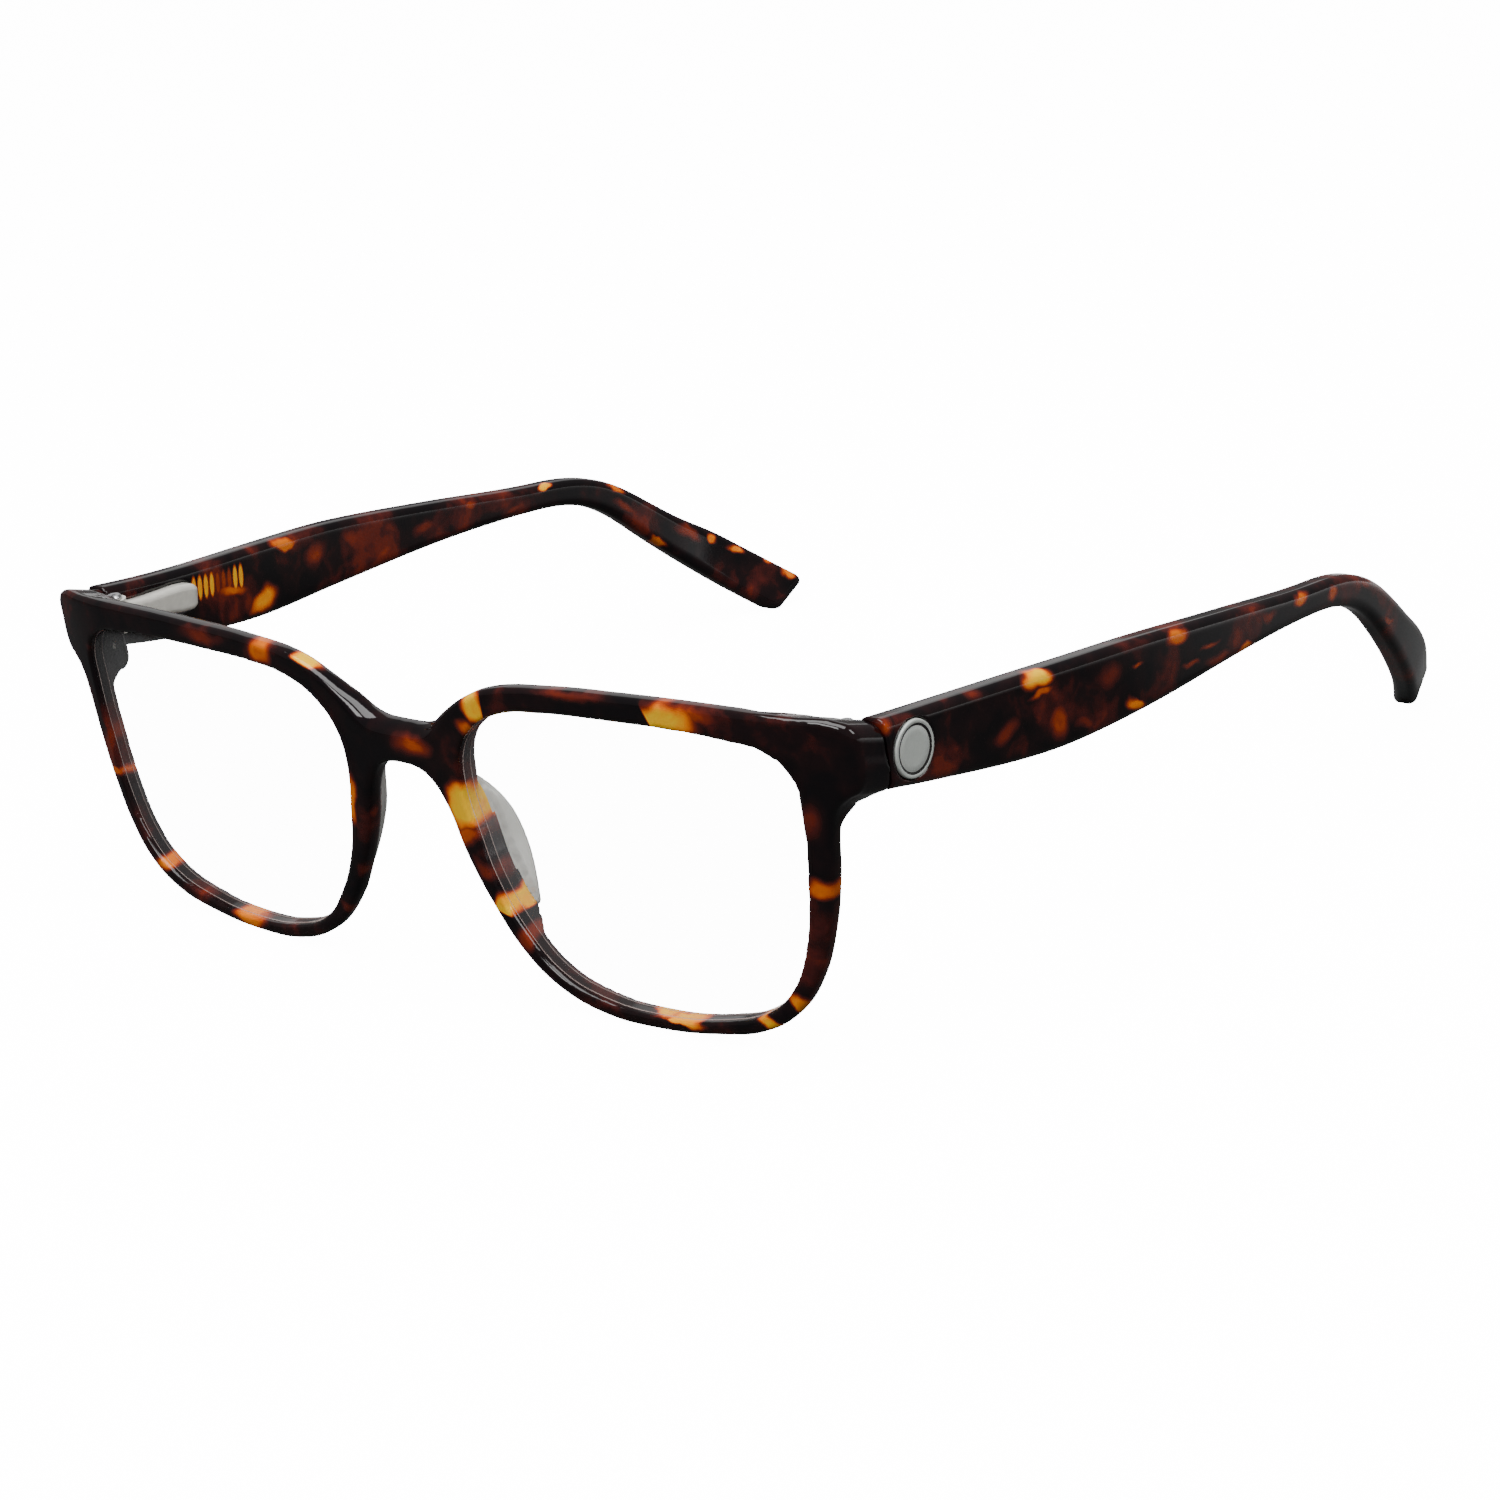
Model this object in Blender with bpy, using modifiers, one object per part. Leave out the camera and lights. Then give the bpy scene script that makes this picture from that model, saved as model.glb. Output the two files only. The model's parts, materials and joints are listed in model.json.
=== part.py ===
"""Full-rim acetate spectacle frame with sprung temple hinges, at rest and open on a table.

Units: the dimensions below are millimetres and every mesh is written in metres.
Design axes of the front: x to the wearer's left, y from the front face towards the ears, z up,
with the origin on the front face at the middle of the bridge. The finished pair is then tipped
until the rims and the temple tips stand on z = 0.
"""

import math

import bmesh
import bpy
from mathutils import Matrix, Vector

MM = 0.001
COLLECTION = "eyeglasses_frame"
GAP = 0.12  # clearance between pieces that touch
PARTING = 0.3  # clearance along a glued or butted joint face

# Front: outlines of the wearer's left half, as (x, z) on the front face.
BASE_RADIUS = 595.0  # face-form curve of the front
WRAP_START = 54.7  # the end pieces wrap back more from this x
WRAP_RATE = 0.0119
RIM_DEPTH = 3.0
FRONT_EDGE = 0.75  # rounding of the front's edges
END_DEPTH = 9.0  # end piece blank, before its seam and hinge faces are cut
END_SLOPE = 0.4  # the end piece drops this much for each mm of depth
BRIDGE_EXTRA = 0.8
SEAM_Y = 11.4  # the face where the temple butts against the end piece
HINGE_FACE_Y = 8.8  # the end piece's inner rear face, which carries the hinge plate
HINGE_FACE_X = 65.2
OUTLINE = [
    (5.0, 9.5),
    (8.5, 11.75), (12.5, 14.25), (17.0, 16.0), (25.0, 17.0), (38.0, 17.5), (52.0, 17.5),
    (61.0, 17.25), (66.0, 16.75), (68.0, 15.5), (68.5, 12.5), (68.5, 9.5), (67.75, 8.0),
    (66.5, 7.25), (65.0, 5.75), (64.25, 3.0), (63.5, -3.0), (62.0, -10.0), (59.75, -16.0),
    (56.5, -20.5), (51.5, -23.75), (44.0, -25.5), (35.0, -26.25), (27.0, -25.75),
    (20.5, -23.5), (15.5, -19.5), (11.5, -13.5), (8.5, -7.0), (6.5, -0.5), (4.5, 2.5),
    (2.5, 3.5),
]
BRIDGE_TOP = (0.0, 9.0)
BRIDGE_BOTTOM = (0.0, 3.75)
OPENING = [
    (10.0, 2.5), (11.0, -4.0), (12.5, -10.0), (16.0, -16.5), (20.5, -21.25), (27.0, -23.75),
    (35.5, -24.5), (45.0, -23.5), (52.0, -21.25), (56.25, -17.5), (59.0, -11.5), (60.5, -3.0),
    (61.0, 5.0), (60.5, 9.75), (57.5, 12.75), (52.0, 13.75), (44.0, 14.25), (35.0, 14.25),
    (26.0, 14.0), (18.5, 13.0), (13.5, 10.5), (10.75, 7.0),
]
LENS_DEPTH = 1.3
LENS_START = 0.9  # depth of the lens behind the front face
LENS_BITE = 0.45  # how far the lens sits in the rim's groove

# Nose pads: moulded fins behind the nasal rims.
PAD_TOP = 2.4
PAD_BOTTOM = -16.5
PAD_REACH = 3.5
PAD_SPLAY = 0.55

# Temples: s runs along the temple from the front, h is up from its axis, w is outward.
TEMPLE_LENGTH = 145.0
TEMPLE_HALF_DEPTH = 1.9
TEMPLE_EDGE = 1.1
AXIS_Y = 8.07
AXIS_Z = 11.14
START_SLOPE = math.radians(-11.2)
BOW = math.radians(4.75)  # the slope eases by this over 100 mm
BEND = math.radians(37.5)  # ear bend
BEND_START = 90.0
BEND_LENGTH = 25.0
TIP_ROUND = 2.6
TIP_SLANT = 0.35
TOP_EDGE = [
    (-4, 4.5), (12, 4.5), (35, 5.0), (50, 5.0), (70, 3.75), (90, 2.0), (100, 1.75), (120, 2.25),
    (130, 3.0), (145, 2.5),
]
BOTTOM_EDGE = [
    (-4, 3.75), (3, 4.0), (12, 4.75), (25, 5.5), (35, 5.5), (50, 4.25), (70, 2.5), (85, 2.0),
    (100, 2.5), (120, 3.5), (130, 4.0), (145, 4.75),
]
SIDEWAYS = [(-4, 66.6), (15, 67.0), (50, 70.0), (90, 69.0), (115, 67.0), (132, 63.0), (145, 57.5)]

# Hinge: its axis is vertical in the front, and its pieces are stacked along that axis.
HINGE_X = 63.0
HINGE_Y = 11.2
HINGE_Z = 11.4
LUG_RADIUS = 1.6
LUG_HEIGHT = 1.2
EYE_HEIGHT = 1.9
EYE_BORE = 1.05
BUSHING_RADIUS = 0.95
SCREW_RADIUS = 0.6
HEAD_RADIUS = 1.15
HEAD_HEIGHT = 0.5
PLATE = (4.0, 1.1, 6.6)  # hinge plate: width, depth, height
ROD_OFFSET = 1.85  # the slider's rod lies this far outward of the axis
ROD_RADIUS = 0.48
ROD_END = 11.6
STOP_RADIUS = 0.98
STOP_LENGTH = 0.8
CASE_START = 2.0
CASE_END = 15.6
CASE_BORE = 1.12
CASE_WALL = 0.9  # front wall that the spring pushes on
SPRING_RADIUS = 0.8
SPRING_WIRE = 0.13
SPRING_TURNS = 6

# Core wire and disc.
CORE_OFFSET = -0.35
CORE_HEIGHT = 0.9  # its place above the temple's axis
SHANK_LENGTH = 12.5
SHANK_HALF = 1.45
SHANK_RIBS = 10
RIB_DEPTH = 0.22
CORE_HALF = 0.65
CORE_SPANS = 16
CORE_END = 128.0
DISC_S = 7.9
DISC_H = 0.1
DISC_RADIUS = 3.5
DISC_DEPTH = 0.6

# A side is +1 for the wearer's left (+x) and -1 for the right.
SIDES = {"left": 1, "right": -1}


# Scene helpers


def clear_scene():
    for obj in list(bpy.data.objects):
        bpy.data.objects.remove(obj, do_unlink=True)


def make_collection(name, parent=None):
    group = bpy.data.collections.new(name)
    (parent or bpy.context.scene.collection).children.link(group)
    return group


def make_material(name, colour, roughness, metallic=0.0, alpha=1.0):
    material = bpy.data.materials.new(name)
    material.use_nodes = True
    shader = material.node_tree.nodes["Principled BSDF"]
    shader.inputs["Base Color"].default_value = (*colour, 1.0)
    shader.inputs["Roughness"].default_value = roughness
    shader.inputs["Metallic"].default_value = metallic
    shader.inputs["Alpha"].default_value = alpha
    material.diffuse_color = (*colour, alpha)
    return material


def add_object(name, bm, group, material=None, pivot=None, parent=None):
    """An object from a bmesh in design millimetres, with its origin at pivot."""
    origin = Vector(pivot or (0.0, 0.0, 0.0))
    for vert in bm.verts:
        vert.co = (vert.co - origin) * MM
    mesh = bpy.data.meshes.new(name)
    bm.to_mesh(mesh)
    bm.free()
    mesh.shade_smooth()
    mesh.set_sharp_from_angle(angle=math.radians(35.0))
    obj = bpy.data.objects.new(name, mesh)
    group.objects.link(obj)
    obj.location = origin * MM
    if material:
        mesh.materials.append(material)
    if parent:
        obj.parent = parent
        obj.location = (0.0, 0.0, 0.0)
    return obj


def add_cutter(name, bm, group=None):
    cutter = add_object(name, bm, group or CUTTERS, parent=ROOT)
    cutter.hide_render = True
    cutter.display_type = "WIRE"
    return cutter


def boolean(obj, cutter, operation="DIFFERENCE"):
    modifier = obj.modifiers.new(cutter.name, "BOOLEAN")
    modifier.operation = operation
    modifier.object = cutter
    modifier.solver = "EXACT"


def cut_all(obj, group):
    """Takes every cutter of a collection out of an object in one step."""
    modifier = obj.modifiers.new(group.name, "BOOLEAN")
    modifier.operation = "DIFFERENCE"
    modifier.operand_type = "COLLECTION"
    modifier.collection = group
    modifier.solver = "EXACT"


def smoothstep(low, high, value):
    t = min(max((value - low) / (high - low), 0.0), 1.0)
    return t * t * (3.0 - 2.0 * t)


def along(table, s):
    """A value read from a table of (s, value) by a Catmull-Rom curve."""
    last = len(table) - 2
    index = max(i for i in range(last + 1) if i == 0 or table[i][0] <= s)
    before = table[max(index - 1, 0)]
    start, end = table[index], table[index + 1]
    after = table[min(index + 2, last + 1)]
    span = end[0] - start[0]
    t = min(max((s - start[0]) / span, 0.0), 1.0)
    slope_in = (end[1] - before[1]) / (end[0] - before[0]) * span
    slope_out = (after[1] - start[1]) / (after[0] - start[0]) * span
    return (
        (2 * t**3 - 3 * t**2 + 1) * start[1]
        + (t**3 - 2 * t**2 + t) * slope_in
        + (3 * t**2 - 2 * t**3) * end[1]
        + (t**3 - t**2) * slope_out
    )


# Shape helpers, all in design millimetres


def flat_blank(outlines, depth, edge=0.0, offset=0.0, steps=2):
    """A bmesh of a flat plate with holes: x and z from the outlines, y from 0 to depth."""
    curve = bpy.data.curves.new("blank", "CURVE")
    curve.dimensions = "2D"
    curve.fill_mode = "BOTH"
    curve.resolution_u = steps
    curve.extrude = depth / 2 - edge
    curve.bevel_depth = edge
    curve.bevel_resolution = 1
    curve.offset = offset - edge
    for outline in outlines:
        spline = curve.splines.new("BEZIER")
        spline.bezier_points.add(len(outline) - 1)
        spline.use_cyclic_u = True
        for point, (x, z) in zip(spline.bezier_points, outline):
            point.co = (x, z, 0.0)
            point.handle_left_type = "AUTO"
            point.handle_right_type = "AUTO"
    holder = bpy.data.objects.new("blank", curve)
    bpy.context.scene.collection.objects.link(holder)
    bpy.context.view_layer.update()
    graph = bpy.context.evaluated_depsgraph_get()
    mesh = bpy.data.meshes.new_from_object(holder.evaluated_get(graph))
    bm = bmesh.new()
    bm.from_mesh(mesh)
    bmesh.ops.remove_doubles(bm, verts=bm.verts, dist=0.001)
    for vert in bm.verts:
        x, z, w = vert.co
        vert.co = (x, depth / 2 - w, z)
    bmesh.ops.recalc_face_normals(bm, faces=bm.faces)
    bpy.data.objects.remove(holder, do_unlink=True)
    bpy.data.meshes.remove(mesh)
    bpy.data.curves.remove(curve)
    return bm


def loft(sections):
    """A closed bmesh through rings of the same number of points."""
    bm = bmesh.new()
    rings = [[bm.verts.new(point) for point in section] for section in sections]
    count = len(rings[0])
    for near, far in zip(rings, rings[1:]):
        for i in range(count):
            j = (i + 1) % count
            bm.faces.new((near[i], near[j], far[j], far[i]))
    bm.faces.new(list(reversed(rings[0])))
    bm.faces.new(rings[-1])
    bmesh.ops.recalc_face_normals(bm, faces=bm.faces)
    return bm


def cylinder(radius, height, centre, axis="Z", segments=24):
    bm = bmesh.new()
    turn = {
        "X": Matrix.Rotation(math.pi / 2, 4, "Y"),
        "Y": Matrix.Rotation(-math.pi / 2, 4, "X"),
        "Z": Matrix.Identity(4),
    }[axis]
    bmesh.ops.create_cone(
        bm, cap_ends=True, segments=segments, radius1=radius, radius2=radius, depth=height,
        matrix=Matrix.Translation(Vector(centre)) @ turn,
    )
    return bm


def box(low, high):
    bm = bmesh.new()
    size = Vector(high) - Vector(low)
    middle = (Vector(high) + Vector(low)) / 2
    bmesh.ops.create_cube(bm, size=1.0, matrix=Matrix.Translation(middle) @ Matrix.Diagonal((*size, 1.0)))
    return bm


def placed(bm, matrix):
    bmesh.ops.transform(bm, matrix=matrix, verts=bm.verts)
    return bm


def mirrored(bm, side):
    """The same shape for the other side, facing outward."""
    if side < 0:
        for vert in bm.verts:
            vert.co.x = -vert.co.x
        bmesh.ops.reverse_faces(bm, faces=bm.faces)
    return bm


# Front


def sagitta(x):
    """How far back the front face lies at x."""
    wrap = max(abs(x) - WRAP_START, 0.0)
    return x * x / (2.0 * BASE_RADIUS) + WRAP_RATE * wrap * wrap


def front_outline():
    """The whole outer outline, clockwise from the middle of the bridge's top."""
    other = [(-x, z) for x, z in reversed(OUTLINE)]
    return [BRIDGE_TOP] + OUTLINE + [BRIDGE_BOTTOM] + other


def build_front(acetate):
    openings = [[(side * x, z) for x, z in OPENING] for side in SIDES.values()]
    bm = flat_blank([front_outline()] + openings, RIM_DEPTH, FRONT_EDGE)
    for vert in bm.verts:
        x, depth, z = vert.co
        end = smoothstep(56.0, 63.0, abs(x)) * smoothstep(3.0, 7.5, z)
        bridge = smoothstep(13.0, 6.0, abs(x)) * smoothstep(0.0, 4.0, z)
        if depth > RIM_DEPTH / 2:
            depth += (END_DEPTH - RIM_DEPTH) * end + BRIDGE_EXTRA * bridge
        drop = END_SLOPE * max(depth - 1.0, 0.0) * smoothstep(53.0, 61.0, abs(x)) * smoothstep(3.0, 7.5, z)
        vert.co = (x, sagitta(x) + depth, z - drop)
    front = add_object("front_frame", bm, PARTS, acetate, parent=ROOT)
    cutters = make_collection("front_cutters", CUTTERS)
    for label, side in SIDES.items():
        add_cutter("groove_" + label, lens_solid(side, GAP), cutters)
        add_cutter("plate_pocket_" + label, mirrored(hinge_plate(GAP), side), cutters)
        face = box((55.0, HINGE_FACE_Y, -5), (HINGE_FACE_X, HINGE_FACE_Y + 10, 25))
        add_cutter("hinge_face_" + label, mirrored(face, side), cutters)
        seam = box((50.0, SEAM_Y, -10), (80.0, SEAM_Y + 10, 30))
        add_cutter("seam_plane_" + label, mirrored(seam, side), cutters)
    cut_all(front, cutters)
    return front


def lens_solid(side, clearance):
    outline = [(side * x, z) for x, z in OPENING]
    offset = LENS_BITE + clearance
    bm = flat_blank([outline], LENS_DEPTH + 2 * clearance, 0.0, offset)
    for vert in bm.verts:
        x, depth, z = vert.co
        vert.co = (x, sagitta(x) + LENS_START - clearance + depth, z)
    return bm


def nasal_line(table, z):
    """x of the nasal stretch of an outline at height z."""
    nasal = sorted((pz, px) for px, pz in table if px < 21.0 and pz < 8.0)
    return along(nasal, z)


def build_pad(side, acetate, label):
    rows = 9
    sections = []
    for row in range(rows):
        t = row / (rows - 1)
        z = PAD_TOP + (PAD_BOTTOM - PAD_TOP) * t
        reach = 0.5 + PAD_REACH * math.sin(math.pi * (0.06 + 0.88 * t) ** 0.85)
        inner = nasal_line(OUTLINE, z) + 0.7
        outer = nasal_line(OPENING, z) - 0.2
        back = sagitta(inner) + RIM_DEPTH + PARTING
        ridge = inner + PAD_SPLAY * (reach + 2.0)
        sections.append([
            (inner, back, z), (inner + 0.15 * reach, back + 0.45 * reach, z),
            (ridge - 0.9, back + reach, z), (ridge + 0.5, back + reach, z),
            (max(outer, ridge - 0.2), back + 0.45 * reach, z), (outer, back, z),
        ])
    bm = mirrored(loft(sections), side)
    pad = add_object("nose_pad_" + label, bm, PARTS, acetate, parent=ROOT)
    smooth = pad.modifiers.new("round", "SUBSURF")
    smooth.levels = 1
    smooth.render_levels = 1
    return pad


# Temples


def temple_axis():
    """Points (s, y, z, slope) along the temple's axis, every half millimetre."""
    step = 0.5
    y, z, s = AXIS_Y - 4.0 * math.cos(START_SLOPE), AXIS_Z - 4.0 * math.sin(START_SLOPE), -4.0
    points = []
    while s <= TEMPLE_LENGTH + 1e-6:
        bend = smoothstep(BEND_START, BEND_START + BEND_LENGTH, s)
        slope = START_SLOPE + BOW * s / 100.0 - BEND * bend
        points.append((s, y, z, slope))
        y += step * math.cos(slope)
        z += step * math.sin(slope)
        s += step
    return points


AXIS = temple_axis()


def temple_point(s, h, w):
    """The design point at s along the temple, h above its axis and w outward of it."""
    place = min(max((s - AXIS[0][0]) * 2.0, 0.0), len(AXIS) - 1.001)
    index = int(place)
    part = place - index
    near, far = AXIS[index], AXIS[index + 1]
    y, z, slope = (a + (b - a) * part for a, b in zip(near[1:], far[1:]))
    return (along(SIDEWAYS, s) + w, y - h * math.sin(slope), z + h * math.cos(slope))


def rounded_ring(top, bottom, half, edge, corner_steps=2):
    """Points (h, w) round a rectangle with rounded corners."""
    edge = min(edge, half * 0.95, (top + bottom) * 0.45)
    corners = [
        (top - edge, half - edge, 0.0), (edge - bottom, half - edge, 90.0),
        (edge - bottom, edge - half, 180.0), (top - edge, edge - half, 270.0),
    ]
    ring = []
    for h, w, start in corners:
        for i in range(corner_steps + 1):
            angle = math.radians(start + 90.0 * i / corner_steps)
            ring.append((h + edge * math.cos(angle), w + edge * math.sin(angle)))
    return ring


def temple_sections():
    stations = [-4.0 + 5.0 * i for i in range(29)] + [139.5, 142.4, 143.4, 144.2, 144.7, 145.0]
    sections = []
    for s in stations:
        into = min(max((s - (TEMPLE_LENGTH - TIP_ROUND)) / TIP_ROUND, 0.0), 0.97)
        shrink = math.sqrt(1.0 - into * into)
        top = along(TOP_EDGE, s)
        bottom = along(BOTTOM_EDGE, s)
        middle = (top - bottom) / 2
        half_height = (top + bottom) / 2 - TIP_ROUND * 0.6 * (1.0 - shrink)
        half = TEMPLE_HALF_DEPTH - 1.0 * (1.0 - shrink)
        slant = TIP_SLANT * smoothstep(118.0, 140.0, s)
        ring = rounded_ring(half_height, half_height, half, TEMPLE_EDGE)
        sections.append([temple_point(s + slant * (h + middle), h + middle, w) for h, w in ring])
    return sections


def build_temple(side, acetate, pivot, parent, label):
    bm = loft(temple_sections())
    plane = SEAM_Y + PARTING / 2
    geometry = bm.verts[:] + bm.edges[:] + bm.faces[:]
    cut = bmesh.ops.bisect_plane(
        bm, geom=geometry, plane_co=(0, plane, 0), plane_no=(0, -1, 0), clear_outer=True,
    )
    edges = [item for item in cut["geom_cut"] if isinstance(item, bmesh.types.BMEdge)]
    bmesh.ops.edgeloop_fill(bm, edges=edges)
    bmesh.ops.recalc_face_normals(bm, faces=bm.faces)
    temple = add_object("temple_" + label, mirrored(bm, side), PARTS, acetate, pivot, parent)
    cutters = make_collection("temple_cutters_" + label, CUTTERS)
    add_cutter("case_pocket_" + label, mirrored(case_solid(GAP), side), cutters)
    add_cutter("slider_slot_" + label, mirrored(slider_arm(GAP), side), cutters)
    add_cutter("core_channel_" + label, mirrored(core_solid(GAP), side), cutters)
    add_cutter("disc_recess_" + label, mirrored(disc_solid(GAP), side), cutters)
    cut_all(temple, cutters)
    return temple


def core_solid(clearance=0.0):
    """The core wire: a ribbed shank behind the case, then a plain wire to the tip.

    With a clearance it is the wire's channel, which has no ribs and opens into the case's pocket.
    """
    start = case_back_s() + PARTING
    pitch = SHANK_LENGTH / SHANK_RIBS / 2
    shank = [start + pitch * i for i in range(2 * SHANK_RIBS + 1)]
    neck = shank[-1] + 2.0
    plain = [neck + (CORE_END - neck) * i / CORE_SPANS for i in range(CORE_SPANS + 1)]
    rows = [(s, SHANK_HALF - (RIB_DEPTH if i % 2 and not clearance else 0.0)) for i, s in enumerate(shank)]
    rows += [(s, CORE_HALF) for s in plain]
    if clearance:
        wide = [start - 1.0] + shank + [neck]
        rows = [(s, SHANK_HALF) for s in wide] + [(s, CORE_HALF) for s in plain[1:-1]]
        rows.append((CORE_END + clearance, CORE_HALF))
    sections = []
    for s, half in rows:
        centre = CORE_HEIGHT * smoothstep(CORE_END, 40.0, s)
        half_h = half + clearance
        half_w = CORE_HALF + clearance
        flat = 0.4
        corners = [(half_h, flat), (half_h, -flat), (flat, -half_w), (-flat, -half_w)]
        corners += [(-half_h, -flat), (-half_h, flat), (-flat, half_w), (flat, half_w)]
        sections.append([temple_point(s, centre + h, CORE_OFFSET + w) for h, w in corners])
    return loft(sections)


def case_back_s():
    """s of the case's rear end: the hinge's own length scale starts at the hinge axis."""
    return (HINGE_Y - AXIS_Y) / math.cos(START_SLOPE) + CASE_END


def disc_solid(clearance=0.0):
    """A round plate let into the temple's outer face."""
    centre = Vector(temple_point(DISC_S, DISC_H, TEMPLE_HALF_DEPTH))
    ahead = Vector(temple_point(DISC_S + 2.0, DISC_H, TEMPLE_HALF_DEPTH))
    out = (ahead - centre).cross(Vector((0, 0, 1))).normalized()
    depth = DISC_DEPTH + 2 * clearance
    bm = cylinder(DISC_RADIUS + clearance, depth, (0, 0, 0), segments=32)
    turn = out.to_track_quat("Z", "Y").to_matrix().to_4x4()
    inward = centre - out * (DISC_DEPTH / 2 - 0.05)
    return placed(bm, Matrix.Translation(inward) @ turn)


# Hinge pieces: built round the hinge axis, with y along the temple before it slopes


def hinge_frame():
    """Places a piece whose y axis runs along the temple's front stretch."""
    slope = START_SLOPE + BOW * 0.1
    return Matrix.Translation((HINGE_X, HINGE_Y, HINGE_Z)) @ Matrix.Rotation(slope, 4, "X")


def hinge_plate(clearance=0.0):
    width, depth, height = PLATE
    low_y = HINGE_FACE_Y - depth
    middle = HINGE_X - 0.2
    return box(
        (middle - width / 2 - clearance, low_y - clearance, HINGE_Z - height / 2 - clearance),
        (
            middle + width / 2 + clearance, HINGE_FACE_Y + (1.0 if clearance else 0.05),
            HINGE_Z + height / 2 + clearance,
        ),
    )


def lug_bases():
    """Heights of the undersides of the two lugs."""
    reach = EYE_HEIGHT / 2 + GAP
    return (HINGE_Z - reach - LUG_HEIGHT, HINGE_Z + reach)


def build_front_hinge(side, metal, label):
    hinge = add_object("front_hinge_" + label, mirrored(hinge_plate(), side), PARTS, metal, parent=ROOT)
    for index, base in enumerate(lug_bases()):
        middle = base + LUG_HEIGHT / 2
        web = box(
            (HINGE_X - 1.2, HINGE_FACE_Y - 0.5, base), (HINGE_X + 1.2, HINGE_Y, base + LUG_HEIGHT)
        )
        barrel = cylinder(LUG_RADIUS, LUG_HEIGHT, (HINGE_X, HINGE_Y, middle))
        bore = cylinder(SCREW_RADIUS + GAP, LUG_HEIGHT + 1.0, (HINGE_X, HINGE_Y, middle))
        key = f"{label}_{index}"
        boolean(hinge, add_cutter("lug_web_" + key, mirrored(web, side)), "UNION")
        boolean(hinge, add_cutter("lug_barrel_" + key, mirrored(barrel, side)), "UNION")
        boolean(hinge, add_cutter("lug_bore_" + key, mirrored(bore, side)))
    return hinge


def turned(name, profile, material, pivot, parent, closed=False, steps=24):
    """A piece turned about the hinge axis from (radius, height) points, top to bottom."""
    mesh = bpy.data.meshes.new(name)
    points = [(radius * MM, 0.0, height * MM) for radius, height in profile]
    edges = [(i, i + 1) for i in range(len(points) - 1)]
    if closed:
        edges.append((len(points) - 1, 0))
    mesh.from_pydata(points, edges, [])
    obj = bpy.data.objects.new(name, mesh)
    PARTS.objects.link(obj)
    mesh.materials.append(material)
    obj.parent = parent
    obj.location = Vector(pivot) * MM if pivot else (0.0, 0.0, 0.0)
    screw = obj.modifiers.new("turn", "SCREW")
    screw.axis = "Z"
    screw.steps = steps
    screw.render_steps = steps
    screw.use_merge_vertices = True
    screw.merge_threshold = 0.00001
    screw.use_smooth_shade = True
    return obj


def build_screw(side, metal, label):
    top = EYE_HEIGHT / 2 + GAP + LUG_HEIGHT
    head = top + GAP
    profile = [
        (0.0, head + HEAD_HEIGHT - 0.25), (0.35, head + HEAD_HEIGHT - 0.25),
        (0.35, head + HEAD_HEIGHT), (HEAD_RADIUS - 0.25, head + HEAD_HEIGHT),
        (HEAD_RADIUS, head + HEAD_HEIGHT - 0.25), (HEAD_RADIUS, head), (SCREW_RADIUS, head),
        (SCREW_RADIUS, -top - 0.2), (SCREW_RADIUS - 0.2, -top - 0.4), (0.0, -top - 0.4),
    ]
    place = (side * HINGE_X, HINGE_Y, HINGE_Z)
    return turned("hinge_screw_" + label, profile, metal, place, ROOT)


def build_bushing(side, nylon, parent, label):
    half = EYE_HEIGHT / 2
    inner = SCREW_RADIUS + GAP
    profile = [
        (inner, half), (BUSHING_RADIUS, half), (BUSHING_RADIUS, -half), (inner, -half),
    ]
    return turned("hinge_bushing_" + label, profile, nylon, None, parent, closed=True)


def slider_arm(clearance=0.0):
    """The arm from the eye to the rod, or with a clearance its slot in the temple's end."""
    start = 0.45 - 1.5 * (clearance > 0.0)
    end = CASE_START - 0.15 + 3.0 * clearance
    half = 0.7 + clearance
    arm = box((0.8, start, -half), (ROD_OFFSET + 0.35 + clearance, end, half))
    return placed(arm, hinge_frame())


def build_slider(side, metal, pivot, parent, label):
    """The eye on the screw, with the rod that the spring pulls into the case."""
    frame = hinge_frame()
    eye = cylinder(LUG_RADIUS, EYE_HEIGHT, (HINGE_X, HINGE_Y, HINGE_Z))
    slider = add_object("slider_eye_" + label, mirrored(eye, side), PARTS, metal, pivot, parent)
    length = ROD_END - 0.9
    rod = placed(cylinder(ROD_RADIUS, length, (ROD_OFFSET, 0.9 + length / 2, 0), "Y", 16), frame)
    bore = cylinder(EYE_BORE, EYE_HEIGHT + 2.0, (HINGE_X, HINGE_Y, HINGE_Z))
    boolean(slider, add_cutter("slider_arm_" + label, mirrored(slider_arm(), side)), "UNION")
    boolean(slider, add_cutter("slider_rod_" + label, mirrored(rod, side)), "UNION")
    boolean(slider, add_cutter("eye_bore_" + label, mirrored(bore, side)))
    return slider


def build_stop(side, metal, pivot, parent, label):
    """The collar on the rod's end that the spring pushes back."""
    frame = hinge_frame()
    middle = ROD_END - STOP_LENGTH / 2 - 0.3
    collar = placed(cylinder(STOP_RADIUS, STOP_LENGTH, (ROD_OFFSET, middle, 0), "Y", 20), frame)
    stop = add_object("slider_stop_" + label, mirrored(collar, side), PARTS, metal, pivot, parent)
    hole = placed(cylinder(ROD_RADIUS + 0.06, STOP_LENGTH + 1, (ROD_OFFSET, middle, 0), "Y", 16), frame)
    boolean(stop, add_cutter("stop_bore_" + label, mirrored(hole, side)))
    return stop


def spring_span():
    """Where the spring lies along the rod, between the case's wall and the stop."""
    return CASE_START + CASE_WALL + 0.35, ROD_END - STOP_LENGTH - 0.3 - 0.35


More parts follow.
